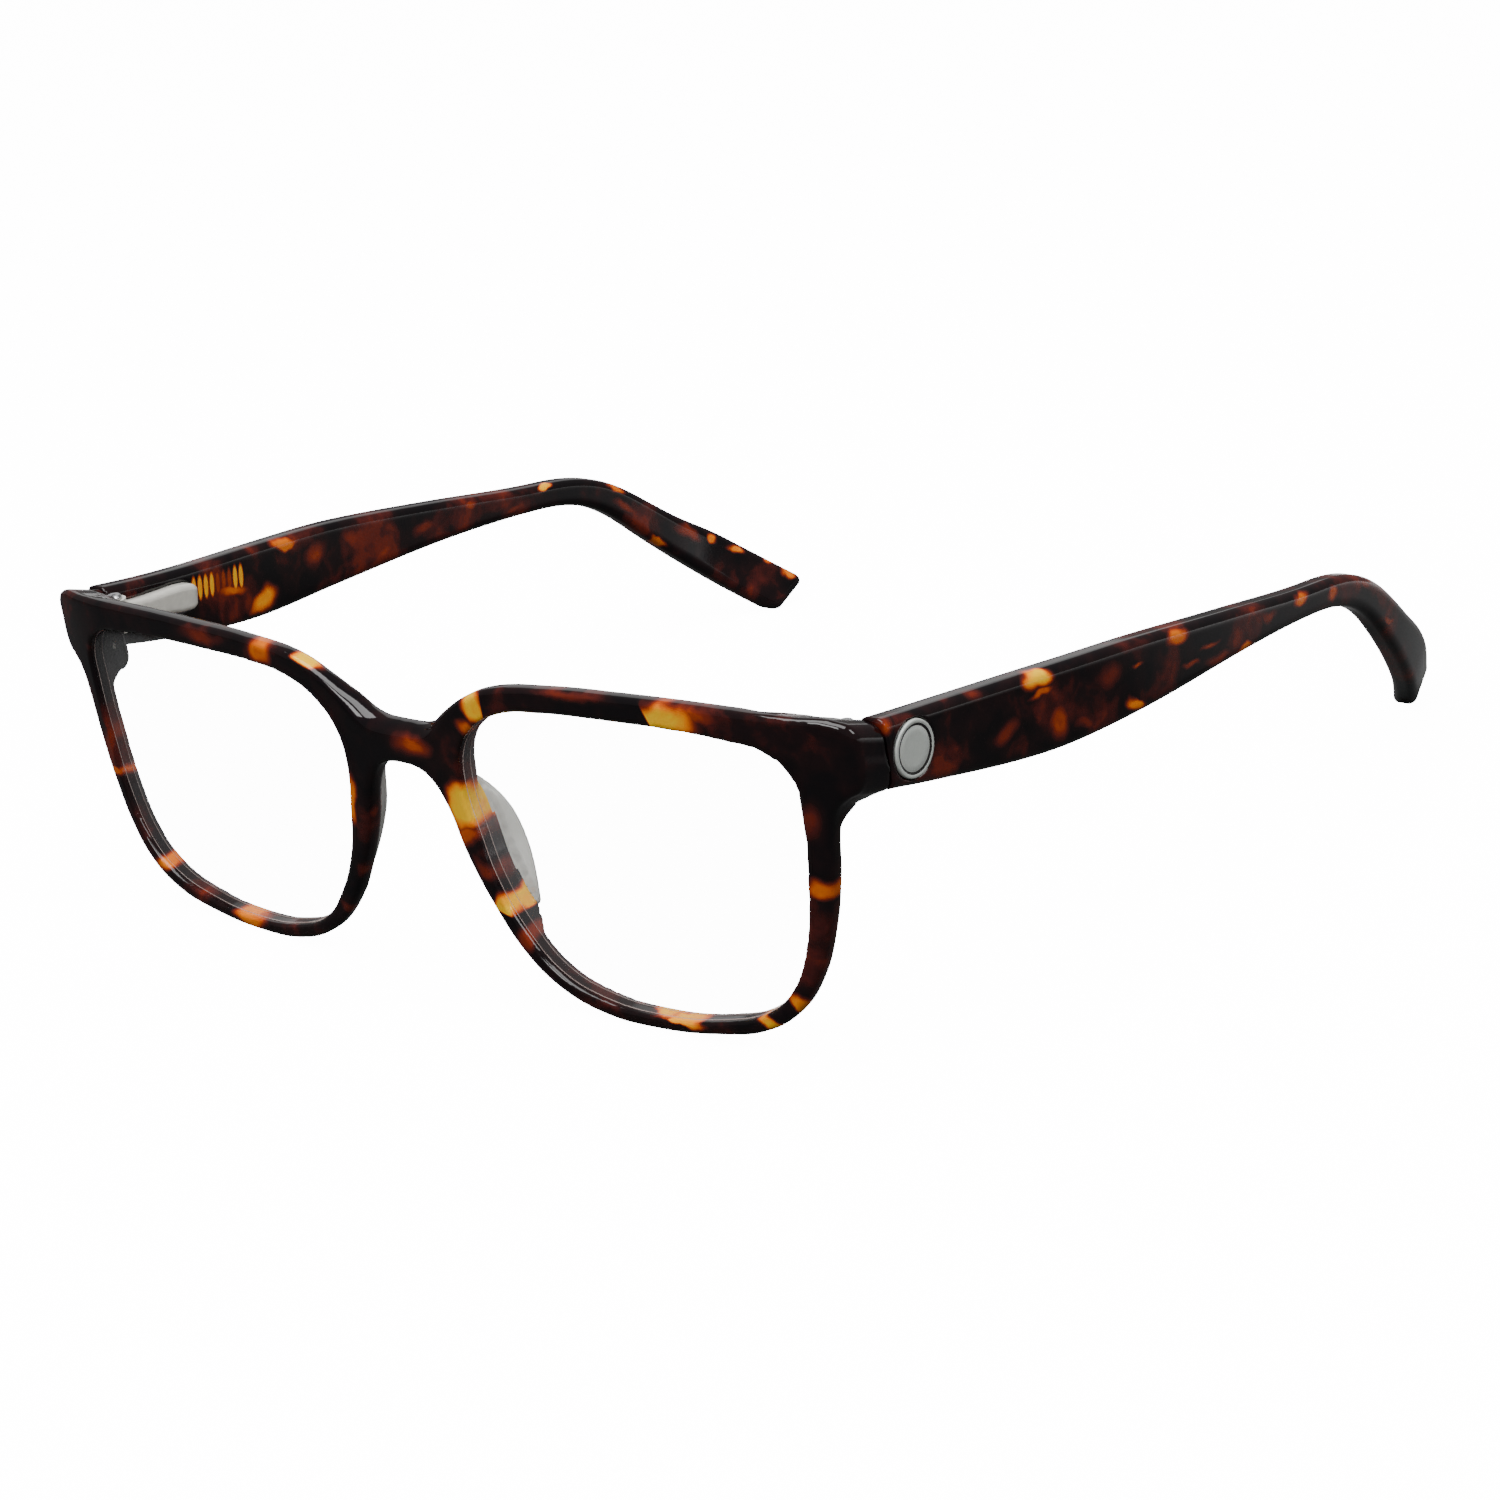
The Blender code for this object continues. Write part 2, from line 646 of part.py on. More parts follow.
def build_spring(side, steel, pivot, parent, label):
    frame = hinge_frame()
    start, end = spring_span()
    count = SPRING_TURNS * 8
    curve = bpy.data.curves.new("hinge_spring", "CURVE")
    curve.dimensions = "3D"
    curve.bevel_depth = SPRING_WIRE * MM
    curve.bevel_resolution = 1
    curve.use_fill_caps = True
    spline = curve.splines.new("POLY")
    spline.points.add(count)
    for index, point in enumerate(spline.points):
        turn = 2.0 * math.pi * SPRING_TURNS * index / count
        local = Vector((
            ROD_OFFSET + SPRING_RADIUS * math.cos(turn),
            start + (end - start) * index / count,
            SPRING_RADIUS * math.sin(turn),
        ))
        design = frame @ local
        design.x *= side
        point.co = (*((design - Vector(pivot)) * MM), 1.0)
    obj = bpy.data.objects.new("hinge_spring_" + label, curve)
    PARTS.objects.link(obj)
    curve.materials.append(steel)
    obj.parent = parent
    return obj


def case_solid(clearance=0.0):
    """The spoon-shaped spring case, slim at the hinge and wider at its rounded rear end."""
    outline = [
        (CASE_START, 1.3), (4.0, 1.3), (6.5, 1.45), (9.5, 1.75), (12.0, 1.95), (13.8, 1.9),
        (15.0, 1.5), (CASE_END, 0.8),
    ]
    sections = []
    for index, (y, half) in enumerate(outline):
        last = index == len(outline) - 1
        side_half = (1.05 if last else 1.4) + clearance
        y += clearance * (1 if last else -1 if index == 0 else 0)
        ring = rounded_ring(half + clearance, half + clearance, side_half, 0.6, 2)
        sections.append([(ROD_OFFSET + w, y, h) for h, w in ring])
    return placed(loft(sections), hinge_frame())


def build_case(side, metal, pivot, parent, label):
    case = add_object("spring_case_" + label, mirrored(case_solid(), side), PARTS, metal, pivot, parent)
    frame = hinge_frame()
    start = CASE_START + CASE_WALL
    length = ROD_END + 1.2 - start
    bore = placed(cylinder(CASE_BORE, length, (ROD_OFFSET, start + length / 2, 0), "Y", 20), frame)
    hole = placed(cylinder(ROD_RADIUS + GAP, 3.0, (ROD_OFFSET, CASE_START + 1.0, 0), "Y", 16), frame)
    boolean(case, add_cutter("spring_bore_" + label, mirrored(bore, side)))
    boolean(case, add_cutter("rod_hole_" + label, mirrored(hole, side)))
    return case


# Assembly


def empty(name, location, parent=None):
    obj = bpy.data.objects.new(name, None)
    PARTS.objects.link(obj)
    obj.location = location
    obj.parent = parent
    return obj


def lowest(objects, pitch):
    """The lowest height of some objects once the pair is tipped by pitch."""
    graph = bpy.context.evaluated_depsgraph_get()
    tip = Matrix.Rotation(pitch, 3, "X")
    least = math.inf
    for obj in objects:
        mesh = obj.evaluated_get(graph).to_mesh()
        matrix = obj.matrix_world
        least = min(least, min((tip @ (matrix @ v.co)).z for v in mesh.vertices))
        obj.evaluated_get(graph).to_mesh_clear()
    return least


def stand_on_table(front, temples):
    """Tips the pair until rims and tips are level, then centres it on the origin."""
    bpy.context.view_layer.update()
    low, high = 0.0, math.radians(15.0)
    for _ in range(24):
        pitch = (low + high) / 2
        if lowest([front], pitch) < lowest(temples, pitch):
            high = pitch
        else:
            low = pitch
    ROOT.location.z = -lowest([front], pitch)
    ROOT.rotation_euler = (pitch, 0.0, 0.0)
    bpy.context.view_layer.update()
    ends = [(obj.matrix_world @ v.co).y for obj in [front] + temples for v in obj.data.vertices]
    ROOT.location.y = -(min(ends) + max(ends)) / 2


def build():
    acetate = make_material("tortoiseshell_acetate", (0.045, 0.012, 0.006), 0.12)
    clear = make_material("demo_lens", (0.92, 0.95, 0.95), 0.02, alpha=0.25)
    nickel = make_material("polished_nickel", (0.78, 0.77, 0.72), 0.14, 1.0)
    steel = make_material("spring_steel", (0.55, 0.55, 0.56), 0.3, 1.0)
    wire = make_material("core_nickel_silver", (0.6, 0.52, 0.3), 0.35, 1.0)
    nylon = make_material("white_nylon", (0.85, 0.85, 0.83), 0.45)
    silver = make_material("brushed_silver", (0.72, 0.73, 0.72), 0.35, 1.0)

    front = build_front(acetate)
    temples = []
    for label, side in SIDES.items():
        pivot = (side * HINGE_X, HINGE_Y, HINGE_Z)
        axis = empty("hinge_axis_" + label, Vector(pivot) * MM, ROOT)
        add_object("lens_" + label, lens_solid(side, 0.0), PARTS, clear, parent=ROOT)
        build_pad(side, acetate, label)
        build_front_hinge(side, nickel, label)
        build_screw(side, steel, label)
        build_bushing(side, nylon, axis, label)
        build_slider(side, nickel, pivot, axis, label)
        build_stop(side, steel, pivot, axis, label)
        build_spring(side, steel, pivot, axis, label)
        build_case(side, nickel, pivot, axis, label)
        temples.append(build_temple(side, acetate, pivot, axis, label))
        core = mirrored(core_solid(), side)
        add_object("core_wire_" + label, core, PARTS, wire, pivot, axis)
        disc = mirrored(disc_solid(), side)
        add_object("temple_disc_" + label, disc, PARTS, silver, pivot, axis)
    stand_on_table(front, temples)


clear_scene()
PARTS = make_collection(COLLECTION)
CUTTERS = make_collection("cutters")
ROOT = empty("design_axes", (0.0, 0.0, 0.0))
build()
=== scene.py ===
"""Looks of the acetate spectacle frame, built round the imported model.

Lengths below are millimetres in the front's design axes (x to the wearer's left, y back, z up);
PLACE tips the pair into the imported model's frame, and the materials undo it to read design points.
"""

import json
import math

import bpy
import numpy as np
from mathutils import Matrix, Vector


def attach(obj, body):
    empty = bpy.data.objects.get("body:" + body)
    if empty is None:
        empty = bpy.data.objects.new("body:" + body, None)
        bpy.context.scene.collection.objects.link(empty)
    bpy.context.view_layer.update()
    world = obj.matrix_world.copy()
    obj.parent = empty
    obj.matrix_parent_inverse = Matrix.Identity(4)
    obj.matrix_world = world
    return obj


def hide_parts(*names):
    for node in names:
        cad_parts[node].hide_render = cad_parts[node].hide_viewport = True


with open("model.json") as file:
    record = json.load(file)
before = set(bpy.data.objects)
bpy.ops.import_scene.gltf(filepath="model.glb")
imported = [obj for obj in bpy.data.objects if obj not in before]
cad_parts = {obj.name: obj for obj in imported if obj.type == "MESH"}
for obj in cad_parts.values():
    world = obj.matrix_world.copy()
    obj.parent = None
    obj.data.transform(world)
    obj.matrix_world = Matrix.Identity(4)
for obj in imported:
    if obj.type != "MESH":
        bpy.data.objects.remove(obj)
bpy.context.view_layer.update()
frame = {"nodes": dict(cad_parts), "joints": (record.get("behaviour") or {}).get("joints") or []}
MM = 0.001

# Design sizes, as in the CAD
BASE_RADIUS, WRAP_START, WRAP_RATE = 595.0, 54.7, 0.0119
RIM_DEPTH, END_DEPTH, END_SLOPE, BRIDGE_EXTRA = 3.0, 9.0, 0.4, 0.8
SEAM_Y, HINGE_FACE_Y, HINGE_FACE_X = 11.4, 8.8, 65.2
BRIDGE_TOP, BRIDGE_BOTTOM = 9.0, 3.75
OUTLINE = [
    (0.0, BRIDGE_TOP), (5.0, 9.5), (8.5, 11.75), (12.5, 14.25), (17.0, 16.0), (25.0, 17.0),
    (38.0, 17.5), (52.0, 17.5), (61.0, 17.25), (66.0, 16.75), (68.0, 15.5), (68.5, 12.5),
    (68.5, 9.5), (67.75, 8.0), (66.5, 7.25), (65.0, 5.75), (64.25, 3.0), (63.5, -3.0),
    (62.0, -10.0), (59.75, -16.0), (56.5, -20.5), (51.5, -23.75), (44.0, -25.5),
    (35.0, -26.25), (27.0, -25.75), (20.5, -23.5), (15.5, -19.5), (11.5, -13.5), (8.5, -7.0),
    (6.5, -0.5), (4.5, 2.5), (2.5, 3.5), (0.0, BRIDGE_BOTTOM),
]
OPENING = [
    (10.0, 2.5), (11.0, -4.0), (12.5, -10.0), (16.0, -16.5), (20.5, -21.25), (27.0, -23.75),
    (35.5, -24.5), (45.0, -23.5), (52.0, -21.25), (56.25, -17.5), (59.0, -11.5), (60.5, -3.0),
    (61.0, 5.0), (60.5, 9.75), (57.5, 12.75), (52.0, 13.75), (44.0, 14.25), (35.0, 14.25),
    (26.0, 14.0), (18.5, 13.0), (13.5, 10.5), (10.75, 7.0),
]
LENS_START, LENS_DEPTH = 0.9, 1.3
PAD_TOP, PAD_BOTTOM, PAD_REACH, PAD_SPLAY = 2.4, -16.5, 3.5, 0.55
TEMPLE_LENGTH, HALF_DEPTH = 145.0, 1.9
AXIS_Y, AXIS_Z = 8.07, 11.14
START_SLOPE, BOW, BEND = math.radians(-11.2), math.radians(4.75), math.radians(37.5)
BEND_START, BEND_LENGTH, TIP_ROUND, TIP_SLANT = 90.0, 25.0, 2.6, 0.35
TOP_EDGE = [
    (-4, 4.5), (12, 4.5), (35, 5.0), (50, 5.0), (70, 3.75), (90, 2.0), (100, 1.75), (120, 2.25),
    (130, 3.0), (145, 2.5),
]
BOTTOM_EDGE = [
    (-4, 3.75), (3, 4.0), (12, 4.75), (25, 5.5), (35, 5.5), (50, 4.25), (70, 2.5), (85, 2.0),
    (100, 2.5), (120, 3.5), (130, 4.0), (145, 4.75),
]
SIDEWAYS = [(-4, 66.6), (15, 67.0), (50, 70.0), (90, 69.0), (115, 67.0), (132, 63.0), (145, 57.5)]
HINGE = (63.0, 11.2, 11.4)
ROD_OFFSET, CASE_START, CASE_END = 1.85, 2.0, 15.6
CASE_HALVES = [
    (2.0, 1.3), (4.0, 1.3), (6.5, 1.45), (9.5, 1.75), (12.0, 1.95), (13.8, 1.9), (15.6, 1.6),
]
DISC_S, DISC_H, DISC_RADIUS = 7.9, 0.1, 3.5
SIDES = {"left": 1, "right": -1}

# Sizes of the looks only
INSET = 0.05  # the front lies this far inside the CAD's outline
FRONT_EDGE, BRIDGE_EDGE, REAR_EDGE, OPENING_EDGE = 0.75, 1.35, 1.35, 0.3
END_FROM, END_TO = 3.0, 7.5  # heights over which the front grows into the end piece
LENS_RIM, LENS_BEVEL = 0.35, 0.13  # the lens's edge lies past the opening, its bevel starts inside
TEMPLE_EDGE, SEAM_EDGE, SLOT_EDGE, POCKET_EDGE = 1.25, 0.05, 0.1, 0.15
CASE_GAP, SLOT_HALF = 0.12, 0.82
DISC_SINK, DISC_GAP = 0.45, 0.1
SLANT_FROM, SLANT_TO = 118.0, 140.0  # s over which the tip's end takes its slant
HANDLE_SHARE = 2.5614  # length of an automatic Bezier handle, as a share of the span to its neighbour

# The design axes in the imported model: the fold axis is their z, and it passes through HINGE.
FOLD = next(joint for joint in frame["joints"] if joint["name"] == "fold_left")
UP = Vector(FOLD["axis"]).normalized()
BACK = UP.cross(Vector((1, 0, 0)))
TIPPED = Matrix(((1, 0, 0), (0, BACK.y, UP.y), (0, BACK.z, UP.z)))
PLACE = Matrix.Translation(Vector(FOLD["pos_m"]) - TIPPED @ (Vector(HINGE) * MM)) @ TIPPED.to_4x4()


# Curves and tables


def smoothstep(low, high, value):
    t = np.clip((value - low) / (high - low), 0.0, 1.0)
    return t * t * (3.0 - 2.0 * t)


def curve_table(table, step=0.25):
    """A Catmull-Rom curve through a table of (s, value), sampled for np.interp."""
    stations = np.array([s for s, _ in table], float)
    values = np.array([v for _, v in table], float)
    slopes = np.gradient(values, stations)
    slopes[1:-1] = (values[2:] - values[:-2]) / (stations[2:] - stations[:-2])
    at = np.arange(stations[0], stations[-1] + step, step).clip(stations[0], stations[-1])
    i = np.clip(np.searchsorted(stations, at, "right") - 1, 0, len(table) - 2)
    span = stations[i + 1] - stations[i]
    t = (at - stations[i]) / span
    value = (
        (2 * t**3 - 3 * t**2 + 1) * values[i] + (t**3 - 2 * t**2 + t) * slopes[i] * span
        + (3 * t**2 - 2 * t**3) * values[i + 1] + (t**3 - t**2) * slopes[i + 1] * span
    )
    return at, value


def smooth_loop(points, steps=8, closed=True):
    """A smooth curve through the points, with each tangent set by its neighbours."""
    pts = np.array(points, float)
    count = len(pts)
    ahead = np.roll(pts, -1, 0)
    behind = np.roll(pts, 1, 0)
    if not closed:
        ahead[-1] = pts[-1] + (pts[-1] - pts[-2]) * (1, 0)
        behind[0] = pts[0] - (pts[1] - pts[0]) * (1, 0)
    reach_b = np.linalg.norm(ahead - pts, axis=1, keepdims=True)
    reach_a = np.linalg.norm(pts - behind, axis=1, keepdims=True)
    tangent = (ahead - pts) / reach_b + (pts - behind) / reach_a
    unit = tangent / (np.linalg.norm(tangent, axis=1, keepdims=True) * HANDLE_SHARE)
    out = []
    for i in range(count if closed else count - 1):
        j = (i + 1) % count
        first, last = pts[i] + unit[i] * reach_b[i], pts[j] - unit[j] * reach_a[j]
        for t in np.arange(steps) / steps:
            ends = (1 - t)**3 * pts[i] + 3 * (1 - t)**2 * t * first
            out.append(ends + 3 * (1 - t) * t * t * last + t**3 * pts[j])
    if not closed:
        out.append(pts[-1])
    return np.array(out)


class FlatShape:
    """Signed distance to a closed outline in x and z, negative inside, from a fine table."""

    def __init__(self, loop, low=(-2.0, -30.0), high=(72.0, 22.0), step=0.1):
        self.low, self.step = low, step
        xs = np.arange(low[0], high[0], step)
        zs = np.arange(low[1], high[1], step)
        x, z = np.meshgrid(xs, zs, indexing="ij")
        least = np.full(x.shape, 1e9)
        inside = np.zeros(x.shape, bool)
        for (ax, az), (bx, bz) in zip(loop, np.roll(loop, -1, 0)):
            dx, dz = bx - ax, bz - az
            t = np.clip(((x - ax) * dx + (z - az) * dz) / (dx * dx + dz * dz + 1e-12), 0, 1)
            least = np.minimum(least, (x - ax - t * dx)**2 + (z - az - t * dz)**2)
            if az != bz:
                inside ^= ((az > z) != (bz > z)) & (x < dx * (z - az) / dz + ax)
        self.table = np.sqrt(least) * np.where(inside, -1.0, 1.0)

    def at(self, x, z):
        u = np.clip((x - self.low[0]) / self.step, 0, self.table.shape[0] - 1.001)
        v = np.clip((z - self.low[1]) / self.step, 0, self.table.shape[1] - 1.001)
        i, j = u.astype(int), v.astype(int)
        u, v = u - i, v - j
        t = self.table
        near = t[i, j] * (1 - u) + t[i + 1, j] * u
        far = t[i, j + 1] * (1 - u) + t[i + 1, j + 1] * u
        return near * (1 - v) + far * v


# Solids as distance fields, negative inside


def both(a, b, radius):
    """What is inside both, with the edge where they meet rounded."""
    corner = np.hypot(np.maximum(a + radius, 0), np.maximum(b + radius, 0))
    return np.minimum(np.maximum(a, b), -radius) + corner


def either(a, b, radius):
    """What is inside either, with a fillet where they meet."""
    corner = np.hypot(np.maximum(radius - a, 0), np.maximum(radius - b, 0))
    return np.maximum(np.minimum(a, b), radius) - corner


REACH = 0.6  # a point may move by this share of the smallest cell
PROBE = 0.02  # step of the slope measure
PASSES = 3


def grid(low, high, cell):
    return [np.arange(a, b + c, c) for a, b, c in zip(low, high, cell)]


def surface(field, axes):
    """Points and quads of the surface where the field is zero, on the grid that three axes span.

    Each cell that the surface crosses gets one point, which is then drawn onto the surface.
    """
    value = field(*np.meshgrid(*axes, indexing="ij"))
    inside = value < 0
    shape = [n - 1 for n in value.shape]
    corners = [(i, j, k) for i in (0, 1) for j in (0, 1) for k in (0, 1)]

    def part(array, c):
        return array[c[0]:c[0] + shape[0], c[1]:c[1] + shape[1], c[2]:c[2] + shape[2]]

    filled = sum(part(inside, c).astype(np.int8) for c in corners)
    mixed = (filled > 0) & (filled < 8)
    where = np.argwhere(mixed)
    number = np.full(shape, -1)
    number[mixed] = np.arange(len(where))
    total, hits = np.zeros((len(where), 3)), np.zeros((len(where), 1))
    for a in corners:
        for axis in range(3):
            if a[axis]:
                continue
            b = tuple(1 if n == axis else a[n] for n in range(3))
            va, vb = part(value, a)[mixed], part(value, b)[mixed]
            cross = ((va < 0) != (vb < 0))[:, None]
            t = np.where(cross[:, 0], va / np.where(va == vb, 1, va - vb), 0)[:, None]
            spot = where + np.array(a) + t * (np.array(b) - np.array(a))
            total += spot * cross
            hits += cross
    points = np.stack([
        np.interp((total / hits)[:, n], np.arange(len(axes[n])), axes[n]) for n in range(3)
    ], 1)
    reach = REACH * min(np.diff(axis).min() for axis in axes)
    quads = []
    for axis in range(3):
        u, v = [(1, 2), (2, 0), (0, 1)][axis]
        take = [slice(1, -1)] * 3
        take[axis] = slice(0, -1)
        ahead = list(take)
        ahead[axis] = slice(1, None)
        first, second = inside[tuple(take)], inside[tuple(ahead)]
        spots = np.argwhere(first != second)
        out = first[tuple(spots.T)]
        spots += [int(s.start) for s in take]
        ring = []
        for du, dv in ((-1, -1), (0, -1), (0, 0), (-1, 0)):
            c = spots.copy()
            c[:, u] += du
            c[:, v] += dv
            ring.append(number[tuple(c.T)])
        ring = np.array(ring).T
        quads.append(np.where(out[:, None], ring, ring[:, ::-1]))
    for _ in range(PASSES):
        f = field(*points.T)
        slope = np.stack([
            field(*(points + probe).T) - field(*(points - probe).T) for probe in PROBE * np.eye(3)
        ], 1) / (2 * PROBE)
        move = -f[:, None] * slope / np.maximum((slope**2).sum(1, keepdims=True), 0.2)
        points = points + np.clip(move, -reach, reach)
    return points, np.concatenate(quads)


def add_piece(name, points, faces, material, body, side=1):
    """A smooth piece from design points in millimetres, mirrored for the other side."""
    points = np.array(points, float) * MM
    faces = [list(map(int, face)) for face in faces]
    if side < 0:
        points[:, 0] *= -1
        faces = [face[::-1] for face in faces]
    points = points @ np.array(TIPPED).T + np.array(PLACE.translation)
    mesh = bpy.data.meshes.new(name)
    mesh.from_pydata(points.tolist(), [], faces)
    mesh.shade_smooth()
    obj = bpy.data.objects.new(name, mesh)
    bpy.context.scene.collection.objects.link(obj)
    mesh.materials.append(material)
    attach(obj, body)
    return obj


# Front


def sagitta(x):
    """How far back the front face lies at x."""
    return x * x / (2 * BASE_RADIUS) + WRAP_RATE * np.maximum(np.abs(x) - WRAP_START, 0)**2


def nasal_table(table):
    """x against z along the side of the rim that faces the nose."""
    return curve_table(sorted((z, x) for x, z in table if 2.0 < x < 21.0 and z < 8.0))


PAST_MIDDLE = -40.0  # the half outline is closed this far on the other side
OUTER_LOOP = np.vstack([
    smooth_loop(OUTLINE, closed=False), [(PAST_MIDDLE, BRIDGE_BOTTOM), (PAST_MIDDLE, BRIDGE_TOP)],
])
OUTER = FlatShape(OUTER_LOOP)
OPEN_LOOP = smooth_loop(OPENING)
OPEN = FlatShape(OPEN_LOOP)
NASAL = nasal_table(OUTLINE)


def pad_field(x, v, z):
    """The moulded nose pad: a rounded fin that leaves the rim's rear and flares outward."""
    t = (PAD_TOP - z) / (PAD_TOP - PAD_BOTTOM)
    lobe = np.clip(0.06 + 0.88 * t, 0.0, 1.0)**0.85
    reach = 0.3 + PAD_REACH * np.sin(math.pi * lobe)
    inner = np.interp(z, *NASAL) + 0.7
    ax, av = inner + 0.95, RIM_DEPTH - 1.3
    bx, bv = inner + PAD_SPLAY * (reach + 1.9), RIM_DEPTH + reach - 0.75
    dx, dv = bx - ax, bv - av
    k = np.clip(((x - ax) * dx + (v - av) * dv) / (dx * dx + dv * dv), 0, 1)
    fin = np.hypot(x - ax - k * dx, v - av - k * dv) - (1.05 - 0.2 * k)
    ends = np.maximum(z - PAD_TOP - 0.6, PAD_BOTTOM - 0.8 - z)
    return both(fin, ends, 1.0)


def front_field(x, y, z):
    x = np.abs(x)
    v = y - sagitta(x)
    end_height = smoothstep(END_FROM, END_TO, z)
    raised = z + END_SLOPE * np.maximum(v - 1.0, 0) * smoothstep(53.0, 61.0, x) * end_height
    outer = OUTER.at(x, raised) + INSET
    rear = RIM_DEPTH + (END_DEPTH - RIM_DEPTH) * smoothstep(56.0, 63.0, x) * end_height
    rear = rear + BRIDGE_EXTRA * smoothstep(13.0, 6.0, x) * smoothstep(0.0, 4.0, z)
    front_edge = FRONT_EDGE + BRIDGE_EDGE * smoothstep(11.0, 4.0, x) * smoothstep(5.0, 8.5, z)
    solid = both(outer, -v, front_edge)
    solid = both(solid, (v - rear) * 0.8, REAR_EDGE)
    solid = both(solid, y - SEAM_Y, 0.06)
    recess = np.maximum(x - HINGE_FACE_X, HINGE_FACE_Y - y)
    solid = both(solid, -recess, 0.15)
    solid = either(solid, pad_field(x, v, z), 0.9)
    # The opening goes through the rim only, so that it spares the pad behind.
    return both(solid, -np.where(v < 4.6, OPEN.at(x, z), 9.0), OPENING_EDGE)


# Temples


def temple_axis():
    """s, y, z and slope along the temple's axis."""
    step = 0.25
    s = np.arange(-4.0, TEMPLE_LENGTH + 6.0, step)
    slope = START_SLOPE + BOW * s / 100.0 - BEND * smoothstep(BEND_START, BEND_START + BEND_LENGTH, s)
    run = np.concatenate([[0], np.cumsum(np.cos(slope[:-1]))]) * step
    rise = np.concatenate([[0], np.cumsum(np.sin(slope[:-1]))]) * step
    y = AXIS_Y - 4.0 * math.cos(START_SLOPE) + run
    z = AXIS_Z - 4.0 * math.sin(START_SLOPE) + rise
    return s, y, z, slope


AXIS = temple_axis()
TOP = curve_table(TOP_EDGE)
BOTTOM = curve_table(BOTTOM_EDGE)
SIDEWAYS_AT = curve_table(SIDEWAYS)


def temple_point(s, h, w):
    """The design point at s along the temple, h above its axis and w outward of it."""
    y, z, slope = (np.interp(s, AXIS[0], AXIS[n]) for n in (1, 2, 3))
    tail = np.maximum(s - TEMPLE_LENGTH, 0) * -0.35
    return np.interp(s, *SIDEWAYS_AT) + tail + w, y - h * np.sin(slope), z + h * np.cos(slope)


def hinge_axes(x, y, z):
    """Design point to the hinge's own axes: across, back along the case, and up."""
    c, s = math.cos(START_SLOPE), math.sin(START_SLOPE)
    dy, dz = y - HINGE[1], z - HINGE[2]
    return x - HINGE[0], dy * c + dz * s, dz * c - dy * s


def from_hinge_axes(x, b, u):
    """The other way round."""
    c, s = math.cos(START_SLOPE), math.sin(START_SLOPE)
    return x + HINGE[0], HINGE[1] + b * c - u * s, HINGE[2] + b * s + u * c


def case_field(a, b, u):
    """The spring case in the hinge's axes."""
    half = np.interp(b, [y for y, _ in CASE_HALVES], [h for _, h in CASE_HALVES])
    side = np.abs(a - ROD_OFFSET) - 1.4
    section = both(side, np.abs(u) - half, 0.8)
    section = both(section, b - CASE_END, 1.5)
    return both(section, CASE_START - b, 0.25)


def temple_field(s, h, w):
    top, bottom = np.interp(s, *TOP), np.interp(s, *BOTTOM)
    middle, half_height = (top - bottom) / 2, (top + bottom) / 2
    solid = both(np.abs(h - middle) - half_height, np.abs(w) - HALF_DEPTH, TEMPLE_EDGE)
    run = s - TIP_SLANT * smoothstep(SLANT_FROM, SLANT_TO, s) * h
    solid = both(solid, run - TEMPLE_LENGTH + 0.12, TIP_ROUND * 0.7)
    x, y, z = temple_point(s, h, w)
    solid = both(solid, SEAM_Y + 0.07 - y, SEAM_EDGE)
    a, b, u = hinge_axes(x, y, z)
    solid = both(solid, CASE_GAP - case_field(a, b, u), POCKET_EDGE)
    slot = np.maximum(np.abs(u) - SLOT_HALF, a - ROD_OFFSET - 0.5)
    solid = both(solid, -np.maximum(slot, b - CASE_START - 0.3), SLOT_EDGE)
    disc = np.hypot(s - DISC_S, h - DISC_H) - DISC_RADIUS - DISC_GAP
    return both(solid, -np.maximum(disc, HALF_DEPTH - DISC_SINK - w), SLOT_EDGE)


# Materials


